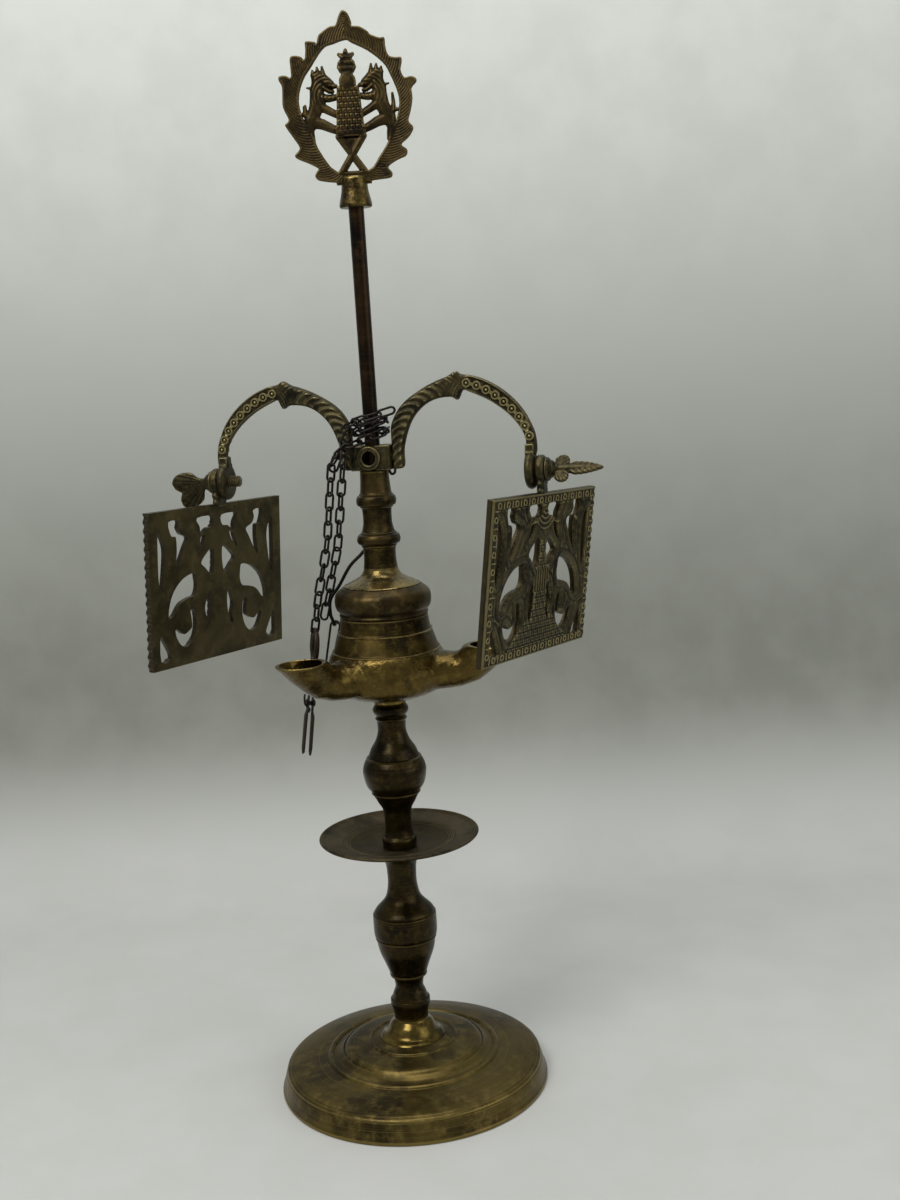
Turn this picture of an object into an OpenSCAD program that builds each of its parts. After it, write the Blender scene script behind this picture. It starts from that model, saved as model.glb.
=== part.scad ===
// Standing oil lamp: a turned brass column with a drip tray, a three-spouted reservoir that turns
// on a centre rod, and a loose two-armed bracket that hangs two pierced screens and the wick tools.
// Origin at the centre of the foot's underside, +Z up the column.

/* [Foot] */
// Diameter of the foot on the table
foot_d = 150; // [135:1:180]
// Height of the flared skirt below the shoulder
skirt_h = 12.4; // [10:0.2:14]
// How far the skirt leans in from the table to the shoulder
skirt_flare = 3.8; // [1:0.2:6]
// Diameter of the middle ring
mid_ring_d = 94.8; // [84:0.2:108]
// Diameter of the inner ring
inner_ring_d = 48.4; // [42:0.2:56]
// Diameter of the polished boss where it leaves the foot
boss_d = 31; // [28:0.2:36]
// Diameter of the boss where the stem sits on it
boss_top_d = 19; // [18:0.2:22]
// Height of the foot up to the stem's seat
foot_h = 38.5; // [36:0.5:46]
// Wall of the foot casting
foot_wall = 3; // [2.5:0.1:4]

/* [Stems] */
// Height of the lower stem between the foot and the tray
lower_stem_h = 97.5; // [80:0.5:130]
// Largest diameter of the urn on the lower stem
urn_d = 35.4; // [30:0.2:42]
// Waist of the lower stem above the urn
lower_waist_d = 16.2; // [14.6:0.2:20]
// Diameter of the bead at the bottom of the lower stem
low_bead_d = 22.2; // [19.4:0.2:26]
// Height of the upper stem between the tray and the reservoir
upper_stem_h = 81.3; // [66:0.3:105]
// Largest diameter of the ball on the upper stem
ball_d = 34.8; // [30:0.2:42]
// Waist of the upper stem under the ball
upper_waist_d = 14.8; // [13:0.2:18]
// Diameter of the flat collar that clamps the tray
clamp_d = 18.8; // [17:0.2:24]
// Diameter of the studs that screw the column together
stud_d = 8; // [7:0.1:9]
// Depth of the sockets that the studs and the rod screw into
socket_depth = 24; // [16:1:30]

/* [Tray] */
// Diameter of the drip tray
tray_d = 88.2; // [76:0.2:110]
// Sheet thickness of the drip tray
tray_t = 1.2; // [0.8:0.1:2]
// Height of the tray's rim above its middle
tray_rise = 7.4; // [5:0.2:10]
// Diameter of the two fine rings on the tray
tray_ring_d = 58; // [50:0.5:66]

/* [Rod] */
// Diameter of the centre rod
rod_d = 8; // [6.4:0.1:8.6]
// Height of the rod's top end above the reservoir's seat
rod_rise = 273; // [255:1:320]

/* [Reservoir] */
// Diameter of the round bowl
bowl_d = 66; // [60:0.5:74]
// Height of the reservoir from its underside to the cap's seam
reservoir_h = 45; // [42:0.5:52]
// Wall of the reservoir
bowl_wall = 2; // [1.6:0.1:2.4]
// Diameter of the stepped collar where it leaves the bowl
collar_low_d = 58.6; // [54:0.2:59]
// Diameter of the stepped collar at its middle ring
collar_mid_d = 50.8; // [48.6:0.2:53]
// Diameter of the stepped collar at the cap's seam
collar_top_d = 46.8; // [45:0.2:48]
// Number of spouts round the bowl
spout_count = 3; // [2, 3, 4]
// Direction of the first spout and of the right arm, in degrees
front_az = -16; // [-20:1:-10]
// Distance from the column to the middle of a spout's mouth
mouth_reach = 60; // [56:0.5:70]
// Diameter of a spout's mouth
mouth_d = 25.4; // [22:0.2:28]
// Height of a spout's mouth above the reservoir's underside
mouth_rise = 29; // [27:0.5:34]
// Outer diameter of a spout's neck
spout_neck_d = 19; // [17:0.2:22]
// Outer diameter of the tube that lines the reservoir
tube_d = 10.8; // [10.2:0.1:12]
// Diameter of the flange under the reservoir
flange_d = 17.4; // [16:0.2:20]
// Height of the flange under the reservoir
flange_h = 4; // [3:0.2:6]

/* [Cap] */
// Largest diameter of the cap's bulge
cap_d = 52; // [49:0.2:58]
// Height of the cap from the seam to the foot of its neck
cap_h = 25.4; // [23:0.2:30]
// Height of the beaded neck
neck_h = 52.2; // [46:0.2:64]
// Plain diameter of the neck
neck_d = 15.6; // [13.6:0.2:18]
// Diameter of the upper bead
upper_bead_d = 21.4; // [19:0.2:25]
// Diameter of the lower bead
lower_bead_d = 23.4; // [20:0.2:26]

/* [Bracket] */
// Length of the collar block between the arms
block_l = 22; // [20:0.5:26]
// Height of the collar block
block_h = 13.2; // [12:0.2:16]
// Depth of the collar block, front to back
block_w = 17; // [15:0.2:20]
// Diameter of the empty set-screw hole
set_screw_d = 7.4; // [5:0.1:8]
// Distance from the column to an arm's eye
arm_reach = 85.3; // [78:0.5:100]
// Height of an arm's crown above its eye
arm_rise = 51; // [46:0.5:60]
// Height of the block's underside above the eyes
block_rise = 3.2; // [0:0.2:6]
// Thickness of the arm castings
arm_t = 6; // [4:0.2:7]
// Outer diameter of an arm's eye
eye_d = 20; // [16:0.2:23]
// Thickness of an arm's eye
eye_t = 5; // [4:0.2:7]

/* [Screens] */
// Width of a screen
screen_w = 107; // [92:1:118]
// Height of a screen
screen_h = 85; // [74:1:92]
// Thickness of a screen
screen_t = 3; // [2:0.1:4]
// Distance from the thumb screw's axis down to the screen's top edge
screen_drop = 12; // [11:0.5:16]
// Turn of a screen away from square to its arm, in degrees
screen_yaw = 17.6; // [0:0.2:20]
// How far the left screen's neck is bent outward, in degrees
left_bend = 3.6; // [-8:0.2:8]
// How far the right screen's neck is bent outward, in degrees
right_bend = -7.4; // [-8:0.2:8]
// Distance the screens' middles stand out from their lugs
screen_shift = 2.4; // [0:0.2:3]
// Width of the plain border round the screen's piercing
border_w = 5.6; // [4:0.2:8]
// Diameter of the lug that a screen hangs by
lug_d = 15; // [12:0.2:17]
// Thickness of a screen's lug
lug_t = 4.4; // [3.6:0.2:6]
// Diameter of a thumb screw's shank
screw_d = 6.2; // [5:0.1:7]
// Length of a thumb screw's leaf head
leaf_l = 25; // [18:0.5:30]

/* [Finial] */
// Height of the wreath above its socket
wreath_h = 83; // [72:1:96]
// Width across the wreath's leaves
wreath_w = 70; // [60:1:82]
// Thickness of the finial casting
wreath_t = 4; // [3:0.2:5]
// Height of the finial's socket
socket_h = 15; // [12:0.5:20]
// Diameter of the finial's socket at its foot
socket_d = 17; // [14:0.2:20]

/* [Chains and tools] */
// Length of one chain link
link_l = 11; // [10.6:0.1:11.4]
// Width of one chain link
link_w = 5.6; // [5.4:0.1:5.8]
// Diameter of the links' wire
link_wire = 1.2; // [1:0.05:1.3]
// Turns of chain piled round the rod
wrap_turns = 2; // [1:1:3]
// Length of the wick scissors, from the loops' tops to the tip
scissors_l = 71; // [60:1:80]
// Thickness of one half of the scissors
scissors_t = 1.6; // [1.2:0.1:2]
// Length of the wick tweezers
tweezers_l = 44; // [36:1:50]
// Diameter of the wire pick
pick_d = 1.5; // [1.2:0.1:2]

/* [Clearances] */
// Gap between a screwed or tight pair, on the radius
tight_gap = 0.05; // [0.02:0.01:0.1]
// Gap between the rod and what turns or slides on it, on the radius
slide_gap = 0.1; // [0.05:0.01:0.2]
// Gap between faces that rest and turn on each other
rest_gap = 0.2; // [0.1:0.05:0.4]
// Gap between loose pieces that hang side by side
loose_gap = 0.4; // [0.3:0.05:0.6]

/* [Hidden] */
$fn = 64;

eps = 0.01;
brass = "#8a713b";
dark_brass = "#5c4c2c";
iron = "#2b2723";

// Heights of the stack, from the table up
tray_z = foot_h + lower_stem_h;
upper_z = tray_z + tray_t;
seat_z = upper_z + upper_stem_h;
flange_z = seat_z + rest_gap;
bowl_z = flange_z + flange_h;
seam_z = bowl_z + reservoir_h;
cap_z = seam_z + rest_gap;
neck_z = cap_z + cap_h;
block_z = neck_z + neck_h + rest_gap;
eye_z = block_z - block_rise;
rod_top_z = seat_z + rod_rise;
finial_z = rod_top_z - socket_h * 0.7;

// Underside of the foot
hub_d = 24;
hub_z = foot_h - 22;
washer_t = 1.5;
nut_h = 6.5;
nut_af = 13;

rod_hole_r = rod_d / 2 + slide_gap;
shoulder_r = foot_d / 2 - skirt_flare;
lug_gap = 0.5;
lug_at = arm_reach + eye_t / 2 + lug_gap + lug_t / 2;
screw_eye_gap = 0.05;
link_r = (link_w - link_wire) / 2;

// A smooth line through the points p, with n steps between neighbours
function curve(p, n = 5) = [
    for (i = [0:len(p) - 2], k = [0:n - 1]) blend_at(p, i, k / n, false), p[len(p) - 1]
];

// The same, closed on itself
function loop(p, n = 4) = [for (i = [0:len(p) - 1], k = [0:n - 1]) blend_at(p, i, k / n, true)];

function at(p, i, closed) = closed ? p[(i + len(p)) % len(p)] : p[max(0, min(len(p) - 1, i))];

function blend_at(p, i, t, closed) =
    let (a = at(p, i - 1, closed), b = at(p, i, closed), c = at(p, i + 1, closed), d = at(p, i + 2, closed))
    0.5 * (2 * b + (c - a) * t + (2 * a - 5 * b + 4 * c - d) * t * t + (3 * b - a - 3 * c + d) * t * t * t);

function shifted(p, d) = [for (q = p) q + d];

// A profile of [radius, height] points turned round the column's axis, down to a bore
module turned(profile, bore_r = 0) {
    low = profile[0][1];
    high = profile[len(profile) - 1][1];
    rotate_extrude() polygon(concat([[bore_r, low]], profile, [[bore_r, high]]));
}

module column(r, z0, z1) {
    translate([0, 0, z0]) cylinder(r = r, h = z1 - z0);
}

// Stands its children at a distance along an arm's direction
module along(az, reach = 0) {
    rotate([0, 0, az]) translate([reach, 0, 0]) children();
}

// Outer line of the foot, from the table to the boss
function foot_line() = concat(
    [[foot_d / 2 - 0.6, 0], [foot_d / 2, 0.8], [foot_d / 2, 1.8]],
    [[shoulder_r + 0.9, skirt_h - 1.4], [shoulder_r + 0.5, skirt_h - 0.8], [shoulder_r + 0.3, skirt_h]],
    curve([
        [shoulder_r - 0.4, skirt_h + 0.9], [shoulder_r - 2.4, skirt_h + 1.9],
        [(shoulder_r + mid_ring_d / 2) / 2, skirt_h + 4], [mid_ring_d / 2 + 1.2, skirt_h + 5.2]
    ]),
    curve([
        [mid_ring_d / 2 + 0.6, skirt_h + 6], [mid_ring_d / 2 - 0.6, skirt_h + 6.8],
        [mid_ring_d / 2 - 1.8, skirt_h + 6.8]
    ], 3),
    curve([
        [mid_ring_d / 2 - 2.6, skirt_h + 6.2], [mid_ring_d / 2 - 5, skirt_h + 6.8],
        [mid_ring_d / 2 - 7.6, skirt_h + 8.6]
    ], 4),
    curve([
        [mid_ring_d / 2 - 8.2, skirt_h + 8.4], [(mid_ring_d + inner_ring_d) / 4, skirt_h + 10.8],
        [inner_ring_d / 2 + 1, skirt_h + 12.2]
    ], 4),
    curve([
        [inner_ring_d / 2 + 0.5, skirt_h + 12.8], [inner_ring_d / 2 - 0.3, skirt_h + 13.6],
        [inner_ring_d / 2 - 1.2, skirt_h + 13.4]
    ], 3),
    curve([
        [inner_ring_d / 2 - 1.8, skirt_h + 13], [(inner_ring_d + boss_d) / 4, skirt_h + 13.8],
        [boss_d / 2 + 0.8, skirt_h + 15.2]
    ], 4),
    curve([
        [boss_d / 2, skirt_h + 15.8], [boss_d / 2 - 1.6, skirt_h + 17.6],
        [(boss_d + boss_top_d) / 4 - 0.6, (skirt_h + 15.8 + foot_h) / 2 + 0.6],
        [boss_top_d / 2 + 0.2, foot_h - 1.8], [boss_top_d / 2, foot_h]
    ])
);

module foot() {
    color(brass) difference() {
        turned(foot_line());
        // hollow underside, following the top one wall lower
        rotate_extrude() polygon([
            [0, -1], [foot_d / 2 - foot_wall, -1], [foot_d / 2 - foot_wall, 0],
            [shoulder_r - foot_wall, skirt_h - foot_wall], [mid_ring_d / 2, skirt_h + 5.2 - foot_wall],
            [mid_ring_d / 2 - 7.6, skirt_h + 7.4 - foot_wall], [inner_ring_d / 2, skirt_h + 12 - foot_wall],
            [hub_d / 2, skirt_h + 13.4 - foot_wall], [hub_d / 2, hub_z], [0, hub_z]
        ]);
        column(stud_d / 2 + tight_gap, hub_z - 1, foot_h + 1);
    }
}

module foot_washer() {
    color(iron) difference() {
        column(nut_af * 0.7, hub_z - washer_t, hub_z);
        column(stud_d / 2 + 0.3, hub_z - washer_t - 1, hub_z + 1);
    }
}

module foot_nut() {
    color(iron) difference() {
        translate([0, 0, hub_z - washer_t - nut_h]) cylinder(d = nut_af / cos(30), h = nut_h, $fn = 6);
        column(stud_d / 2 + tight_gap, hub_z - washer_t - nut_h - 1, hub_z);
    }
}

// Lower stem: k stretches the urn's heights with the stem
function lower_stem_line() = let (k = lower_stem_h / 97.5, u = urn_d / 2, w = lower_waist_d / 2, b = low_bead_d / 2)
    shifted(concat(
        [[boss_top_d / 2 - 0.2, 0], [boss_top_d / 2, 1.2 * k]],
        curve([[b - 0.8, 5.4 * k], [b, 8 * k], [b - 0.1, 10 * k]], 3),
        curve([[b - 0.7, 10.8 * k], [w + 0.9, 14 * k], [w - 0.3, 17.5 * k], [w + 0.4, 22 * k]]),
        [[w + 2, 24.2 * k], [w + 2.3, 25.2 * k]],
        curve([[w + 2.4, 26 * k], [u * 0.7, 31.4 * k], [u * 0.86, 39 * k], [u - 1.3, 45.6 * k]]),
        [[u - 0.9, 46.4 * k]],
        curve([[u - 1, 47 * k], [u - 0.2, 48.6 * k], [u, 54 * k], [u - 0.1, 60 * k]], 3),
        curve([[u - 0.6, 61.4 * k], [u - 2.2, 63.6 * k], [w + 2, 69.6 * k], [w + 0.1, 77 * k], [w, 84 * k],
            [w + 0.6, 89.6 * k], [w + 2.6, 93.6 * k], [w + 5, 95.8 * k]]),
        [[w + 5.4, lower_stem_h]]
    ), [0, foot_h]);

module lower_stem() {
    color(dark_brass) difference() {
        union() {
            turned(lower_stem_line());
            column(stud_d / 2, hub_z - washer_t - nut_h - 1.5, foot_h + 1);
        }
        column(stud_d / 2 + tight_gap, tray_z - socket_depth, tray_z + 1);
    }
}

module drip_tray() {
    r = tray_d / 2;
    ring = tray_ring_d / 2;
    flat = clamp_d / 2 + 1.5;
    rise = function(x) tray_rise * (x - flat) / (r - flat);
    top = concat(
        [[flat, 0], [ring - 1.4, rise(ring - 1.4)], [ring - 0.9, rise(ring) + 0.35], [ring - 0.3, rise(ring)]],
        [[ring + 0.7, rise(ring + 1)], [ring + 1.2, rise(ring + 1) + 0.45], [ring + 1.8, rise(ring + 1.8)]],
        [[r - 2.2, tray_rise - 0.3], [r - 1.4, tray_rise + 0.5], [r - 0.5, tray_rise + 0.5], [r, tray_rise - 0.1]]
    );
    under = [[r - 0.2, tray_rise - tray_t], [r - 2, tray_rise - 0.6 - tray_t], [flat, -tray_t]];
    hole = stud_d / 2 + 0.3;
    color("#6b5a3a") translate([0, 0, upper_z])
        rotate_extrude() polygon(concat([[hole, 0]], top, under, [[hole, -tray_t]]));
}

// Upper stem: k stretches the ball's heights with the stem
function upper_stem_line() = let (k = upper_stem_h / 81.3, u = ball_d / 2, w = upper_waist_d / 2, c = clamp_d / 2)
    shifted(concat(
        [[c - 0.5, 0]],
        curve([[c, 0.8 * k], [c, 4.6 * k], [c - 0.6, 6 * k]], 3),
        curve([[w + 0.3, 7.4 * k], [w - 0.1, 14 * k], [w + 0.5, 21.6 * k], [w + 3, 26.4 * k], [u - 4.9, 30.4 * k]]),
        [[u - 4.1, 31.4 * k], [u - 4.2, 32.4 * k]],
        curve([[u - 3.6, 33 * k], [u - 1.4, 36.4 * k], [u, 43.4 * k], [u - 0.8, 47.6 * k], [u - 2.6, 51.4 * k]]),
        [[u - 3.4, 51.8 * k]],
        curve([[u - 3.7, 52.6 * k], [u - 5.2, 56.4 * k], [w + 2, 61 * k], [w + 0.4, 66.2 * k], [w + 0.5, 72 * k]]),
        [[w + 1, 72.8 * k], [w + 1, 73.6 * k], [w + 0.6, 74.2 * k], [w + 1, 75.4 * k]],
        curve([[w + 1.5, 75.8 * k], [w + 2.3, 77.2 * k], [w + 2.2, 79 * k], [w + 1.4, 80.3 * k]], 3),
        [[w + 1.2, upper_stem_h]]
    ), [0, upper_z]);

module upper_stem() {
    color(dark_brass) difference() {
        union() {
            turned(upper_stem_line());
            column(stud_d / 2, tray_z - socket_depth + 2, upper_z + 1);
        }
        column(rod_d / 2 + tight_gap, seat_z - socket_depth, seat_z + 1);
    }
}

module centre_rod() {
    color("#4a3526") column(rod_d / 2, seat_z - socket_depth + 1, rod_top_z);
}

// Bowl, from its foot to the edge of the stepped collar
function bowl_line(inset) = let (r = bowl_d / 2 - inset, s = collar_low_d / 2 - inset) concat(
    curve([
        [flange_d / 2 + 2, inset], [r * 0.62, inset + 0.9], [r * 0.9, 5.4 + inset * 0.6], [r, 12.6],
        [r * 0.985, 18], [s + 1.4, 24]
    ], 3),
    [[s + 0.3, 25.3], [s, 26]]
);

function stepped_collar(inset) = curve([
    [collar_low_d / 2 - 0.6 - inset, 26.2], [(collar_low_d + collar_mid_d) / 4 - 0.7 - inset, 31.4],
    [collar_mid_d / 2 - 0.3 - inset, 36.6]
], 2);

// A spout: two overlapping hulls from the bowl's side to the level mouth
module spout(inset) {
    r = spout_neck_d / 2 - inset;
    root = mouth_reach * 0.62;
    bend = mouth_reach - 14;
    level = r + 5.2 + inset;
    hull() {
        translate([root, 0, level]) sphere(r = r, $fn = 18);
        translate([bowl_d * 0.2, 0, level]) scale([1, 1.25, 1]) sphere(r = r, $fn = 18);
    }
    hull() {
        translate([root, 0, level]) sphere(r = r, $fn = 18);
        translate([bend, 0, level + 2.4]) sphere(r = r, $fn = 18);
        translate([mouth_reach, 0, mouth_rise - 1 + (inset > 0 ? 1 : 0)])
            cylinder(r = mouth_d / 2 - inset * 0.7, h = 1 + (inset > 0 ? 1 : 0), $fn = 36);
    }
}

module reservoir_body(inset) {
    top = reservoir_h + (inset > 0 ? 1 : 0);
    rotate_extrude($fn = 48) polygon(concat(
        [[0, inset]], bowl_line(inset), stepped_collar(inset),
        [[collar_mid_d / 2 - inset, 37.2], [collar_mid_d / 2 - 0.7 - inset, 37.8]],
        [[collar_top_d / 2 - inset, top], [0, top]]
    ));
    for (i = [0:spout_count - 1]) along(front_az + i * 360 / spout_count) spout(inset);
}

module reservoir() {
    color(brass) translate([0, 0, bowl_z]) difference() {
        reservoir_body(0);
        reservoir_body(bowl_wall);
        column(tube_d / 2 + tight_gap, -1, bowl_wall + 1);
    }
}

module reservoir_tube() {
    color("#b08d3e") difference() {
        union() {
            turned([[flange_d / 2 - 0.5, flange_z], [flange_d / 2, flange_z + 0.6],
                [flange_d / 2, bowl_z - 0.6], [flange_d / 2 - 0.4, bowl_z]]);
            column(tube_d / 2, flange_z + 1, seam_z - 8);
        }
        column(rod_hole_r, flange_z - 1, seam_z);
    }
}

// Cap: a rolled lip, the bulge, and a hollow flare up to the neck
function cap_line() = let (r = cap_d / 2, k = cap_h / 25.4, n = neck_d / 2 + 1.4) concat(
    curve([[r - 2.8, 0], [r - 2, 0.7], [r - 2.4, 1.8]], 3),
    curve([[r - 2.6, 2.2 * k], [r - 0.5, 4.8 * k], [r, 9.2 * k], [r - 1, 12.6 * k], [r - 4.6, 15.9 * k]]),
    [[r - 5.2, 16 * k]],
    curve([[r - 5.5, 16.5 * k], [r - 8.9, 18.4 * k], [n + 2.2, 21.4 * k], [n + 0.2, 24.4 * k]]),
    [[n, cap_h]]
);

module reservoir_cap() {
    r = cap_d / 2;
    rim = collar_top_d / 2 - bowl_wall - loose_gap;
    color(brass) translate([0, 0, cap_z]) difference() {
        union() {
            turned(cap_line());
            // spigot that drops into the reservoir's mouth
            column(rim, -3, 1);
        }
        rotate_extrude() polygon(concat(
            [[0, -4], [rim - 1.6, -4], [rim - 1.6, 0.4]],
            curve([[rim - 1.2, 2], [r - 2.4, 6.6], [r - 2.6, 10.6], [r - 7, 13.8], [neck_d / 2 + 3, 17.4]], 4),
            [[neck_d / 2 + 1.6, cap_h - 5], [0, cap_h - 5]]
        ));
        column(neck_d / 2 - 1.6 + tight_gap, cap_h - 6, cap_h + 1);
    }
}

// Neck with its two beads; k stretches the spacing with the neck
function neck_line() = let (k = neck_h / 52.2, n = neck_d / 2, a = lower_bead_d / 2, b = upper_bead_d / 2) concat(
    curve([[n + 1.2, 0], [n + 0.9, 5 * k], [n + 0.9, 11.6 * k]], 3),
    curve([[n + 1.4, 12.4 * k], [a - 0.6, 13.4 * k], [a, 15.4 * k], [a - 0.7, 18 * k], [n + 1.6, 19 * k]], 4),
    curve([[n + 1, 19.8 * k], [n, 24 * k], [n - 0.1, 29 * k], [n + 0.2, 32.4 * k]], 4),
    curve([[n + 0.9, 33 * k], [b - 0.4, 34 * k], [b, 36.2 * k], [b - 0.5, 38.6 * k], [n + 1.2, 39.6 * k]], 4),
    curve([[n + 0.8, 40.4 * k], [n + 0.2, 44 * k], [n - 0.1, 49 * k]], 3),
    [[n - 0.1, neck_h]]
);

module cap_neck() {
    color(brass) translate([0, 0, neck_z]) difference() {
        union() {
            turned(neck_line());
            column(neck_d / 2 - 1.6, -4.6, 1);
        }
        column(rod_hole_r, -6, neck_h + 1);
    }
}

tenon_r = 2.6;
tenon_l = 4;

// Rectangle with rounded corners, centred
function rounded(w, d, r) = [
    for (q = [0:3], a = [0:30:90]) let (sx = q == 0 || q == 3 ? 1 : -1, sy = q < 2 ? 1 : -1)
        [sx * (w / 2 - r), sy * (d / 2 - r)] + r * [cos(90 * q + a), sin(90 * q + a)]
];

module arm_collar() {
    color("#77705a") translate([0, 0, block_z]) rotate([0, 0, front_az]) difference() {
        union() {
            linear_extrude(block_h) polygon(rounded(block_l, block_w - 4, 1.6));
            // round face that carries the set screw
            translate([0, -block_w / 2, block_h / 2]) rotate([-90, 0, 0]) cylinder(d = block_h - 0.6, h = block_w);
        }
        column(rod_hole_r, -1, block_h + 1);
        translate([0, -block_w / 2 - 1, block_h / 2]) rotate([-90, 0, 0]) cylinder(d = set_screw_d, h = block_w / 2 + 1);
        for (side = [-1, 1]) translate([side * block_l / 2, 0, block_h / 2])
            rotate([0, -side * 90, 0]) translate([0, 0, -1]) cylinder(r = tenon_r + tight_gap, h = tenon_l + 1.5);
    }
}

// A point of the arm's drawing, [reach, height above the eye], fitted to the block and the eye
function arm_at(p) = [
    block_l / 2 + (p[0] - 11) * (arm_reach - block_l / 2) / 74.3, p[1] * arm_rise / 51
];

arm_outer = [
    [11, 4.2], [11, 22.6], [12, 28], [15.4, 34], [20.2, 38.8], [25.9, 42.5], [32, 45.8], [38.4, 48.4],
    [43.6, 50], [47.9, 52.4], [50.4, 50.8], [57, 49.6], [63.5, 47.1], [70, 43.4], [75.9, 38.7],
    [80.8, 33.4], [84.5, 27.7], [87.2, 22], [88.7, 16.7], [88.2, 8]
];
arm_inner = [
    [83.2, 8], [83.6, 14], [82.2, 19.2], [79.2, 24.4], [75.4, 28.8], [71, 32.6], [66.2, 36], [61.2, 38.7],
    [55.6, 41.2], [51.7, 42.6], [50.2, 40.6], [48.4, 37.6], [45.6, 39.2], [40, 39.2], [34.8, 38.1],
    [29.6, 35.4], [25.1, 31.2], [22, 26.6], [19.4, 20.4], [17.5, 13], [17.4, 5.4], [15.8, 3.5], [12.6, 3.4]
];

// Casting of one arm, standing in the plane of +X and +Z with its eye at arm_reach
module arm() {
    difference() {
        union() {
            rotate([90, 0, 0]) translate([0, 0, -arm_t / 2]) linear_extrude(arm_t)
                polygon([for (p = concat(arm_outer, arm_inner)) arm_at(p)]);
            translate([arm_reach - eye_t / 2, 0, 0]) rotate([0, 90, 0]) cylinder(d = eye_d, h = eye_t);
            translate([block_l / 2 - tenon_l, 0, block_rise + block_h / 2])
                rotate([0, 90, 0]) cylinder(r = tenon_r, h = tenon_l + 2);
        }
        translate([arm_reach - eye_t, 0, 0]) rotate([0, 90, 0])
            cylinder(d = screw_d + 2 * screw_eye_gap, h = 2 * eye_t);
    }
}

module right_arm() {
    color("#77705a") translate([0, 0, eye_z]) along(front_az) arm();
}

module left_arm() {
    color("#77705a") translate([0, 0, eye_z]) along(front_az + 180) arm();
}

// Left half of the piercing, [across, down] in hundredths of the half width and of the height inside the border
half_piercing = [
    [[-97, 12], [-91, 12], [-88, 20], [-88, 29], [-92, 38], [-96, 48], [-98, 33]],
    [[-79, 2], [-65, 2], [-67, 6], [-65, 10], [-56, 14], [-62, 23], [-69, 33], [-67, 23], [-69, 14], [-77, 11], [-78, 6]],
    [[-36, 2], [-13, 1], [-15, 8], [-30, 12], [-31, 7]],
    [[-12, 24], [-10, 29], [-10, 34], [-14, 43], [-21, 40], [-29, 34], [-20, 31]],
    [[-44, 41], [-40, 45], [-39, 51], [-43, 56], [-57, 56], [-70, 60], [-76, 65], [-85, 69], [-83, 61], [-75, 52], [-62, 45]],
    [[-56, 70], [-49, 68], [-43, 73], [-43, 79], [-47, 88], [-56, 93], [-65, 94], [-74, 90], [-77, 84], [-73, 81],
        [-66, 85], [-58, 85], [-51, 82], [-51, 76]],
    [[-98, 84], [-91, 92], [-84, 99], [-98, 100]],
    [[-19, 56], [-17, 62], [-19, 69], [-22, 77], [-25, 74], [-27, 65], [-24, 61]]
];

module piercing() {
    w = screen_w / 2 - border_w;
    h = screen_h - 2 * border_w;
    for (s = [-1, 1], hole = half_piercing)
        polygon(loop([for (q = hole) [s * -q[0] * w / 100, -border_w - q[1] * h / 100]], 3));
}

// Square tower in low relief up the middle of a screen
module tower_relief() {
    w = screen_w * 0.09;
    h = screen_h;
    translate([-w * 0.8, -h * 0.93]) square([w * 1.6, h * 0.5]);
    for (i = [-1:1]) translate([i * w * 0.62 - w * 0.19, -h * 0.44]) square([w * 0.38, h * 0.05]);
    translate([-w * 0.3, -h * 0.44]) square([w * 0.6, h * 0.16]);
    for (i = [-1, 1]) translate([i * w * 0.3 - w * 0.14, -h * 0.29]) square([w * 0.28, h * 0.04]);
}

// A screen hanging from its lug: the lug's bore along +X, the plate turned about +Z and bent outward
module screen(bend) {
    rim = 2.4;
    neck = lug_d - 4;
    difference() {
        union() {
            rotate([0, 90, 0]) translate([0, 0, -lug_t / 2]) cylinder(d = lug_d, h = lug_t);
            translate([-lug_t / 2, -neck / 2, -screen_drop - 1.5]) cube([lug_t, neck, screen_drop - 2]);
            translate([screen_shift, 0, 0]) rotate([0, -bend, 0]) rotate([0, 0, 90 - screen_yaw])
                translate([0, 0, -screen_drop]) rotate([90, 0, 0]) {
                    translate([0, 0, -screen_t / 2]) linear_extrude(screen_t) difference() {
                        translate([-screen_w / 2, -screen_h]) square([screen_w, screen_h]);
                        piercing();
                    }
                    // raised rim and tower on the outward face
                    translate([0, 0, screen_t / 2 - eps]) linear_extrude(1.2) {
                        difference() {
                            translate([-screen_w / 2, -screen_h]) square([screen_w, screen_h]);
                            translate([rim - screen_w / 2, rim - screen_h]) square([screen_w - 2 * rim, screen_h - 2 * rim]);
                        }
                        tower_relief();
                    }
                }
        }
        rotate([0, 90, 0]) cylinder(d = screw_d + 2 * slide_gap, h = 6 * lug_t, center = true);
    }
}

module right_screen() {
    color("#77705a") translate([0, 0, eye_z]) along(front_az, lug_at) screen(right_bend);
}

module left_screen() {
    color("#7a7048") translate([0, 0, eye_z]) along(front_az + 180, lug_at) screen(left_bend);
}

// Thumb screw along +X: shank through the eye, conical collar, then its leaves
module thumb_screw(tip_gap) {
    seat = lug_at + lug_t / 2 + rest_gap;
    tip = arm_reach - eye_t / 2 - tip_gap;
    rotate([0, 90, 0]) {
        translate([0, 0, tip]) cylinder(d = screw_d, h = seat - tip + 1);
        translate([0, 0, seat]) cylinder(d1 = screw_d + 6.4, d2 = screw_d - 1.6, h = 6);
    }
    translate([seat + 5, 0, 0]) children();
}

// One leaf of a thumb screw in the plane of +X and +Y, of length l
module leaf(l, w) {
    translate([0, 0, -1.3]) linear_extrude(2.6) polygon(loop([
        [-1, 2], [l * 0.25, w * 0.36], [l * 0.5, w * 0.5], [l * 0.78, w * 0.38], [l, 0],
        [l * 0.78, -w * 0.38], [l * 0.5, -w * 0.5], [l * 0.25, -w * 0.36], [-1, -2]
    ], 3));
}

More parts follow.
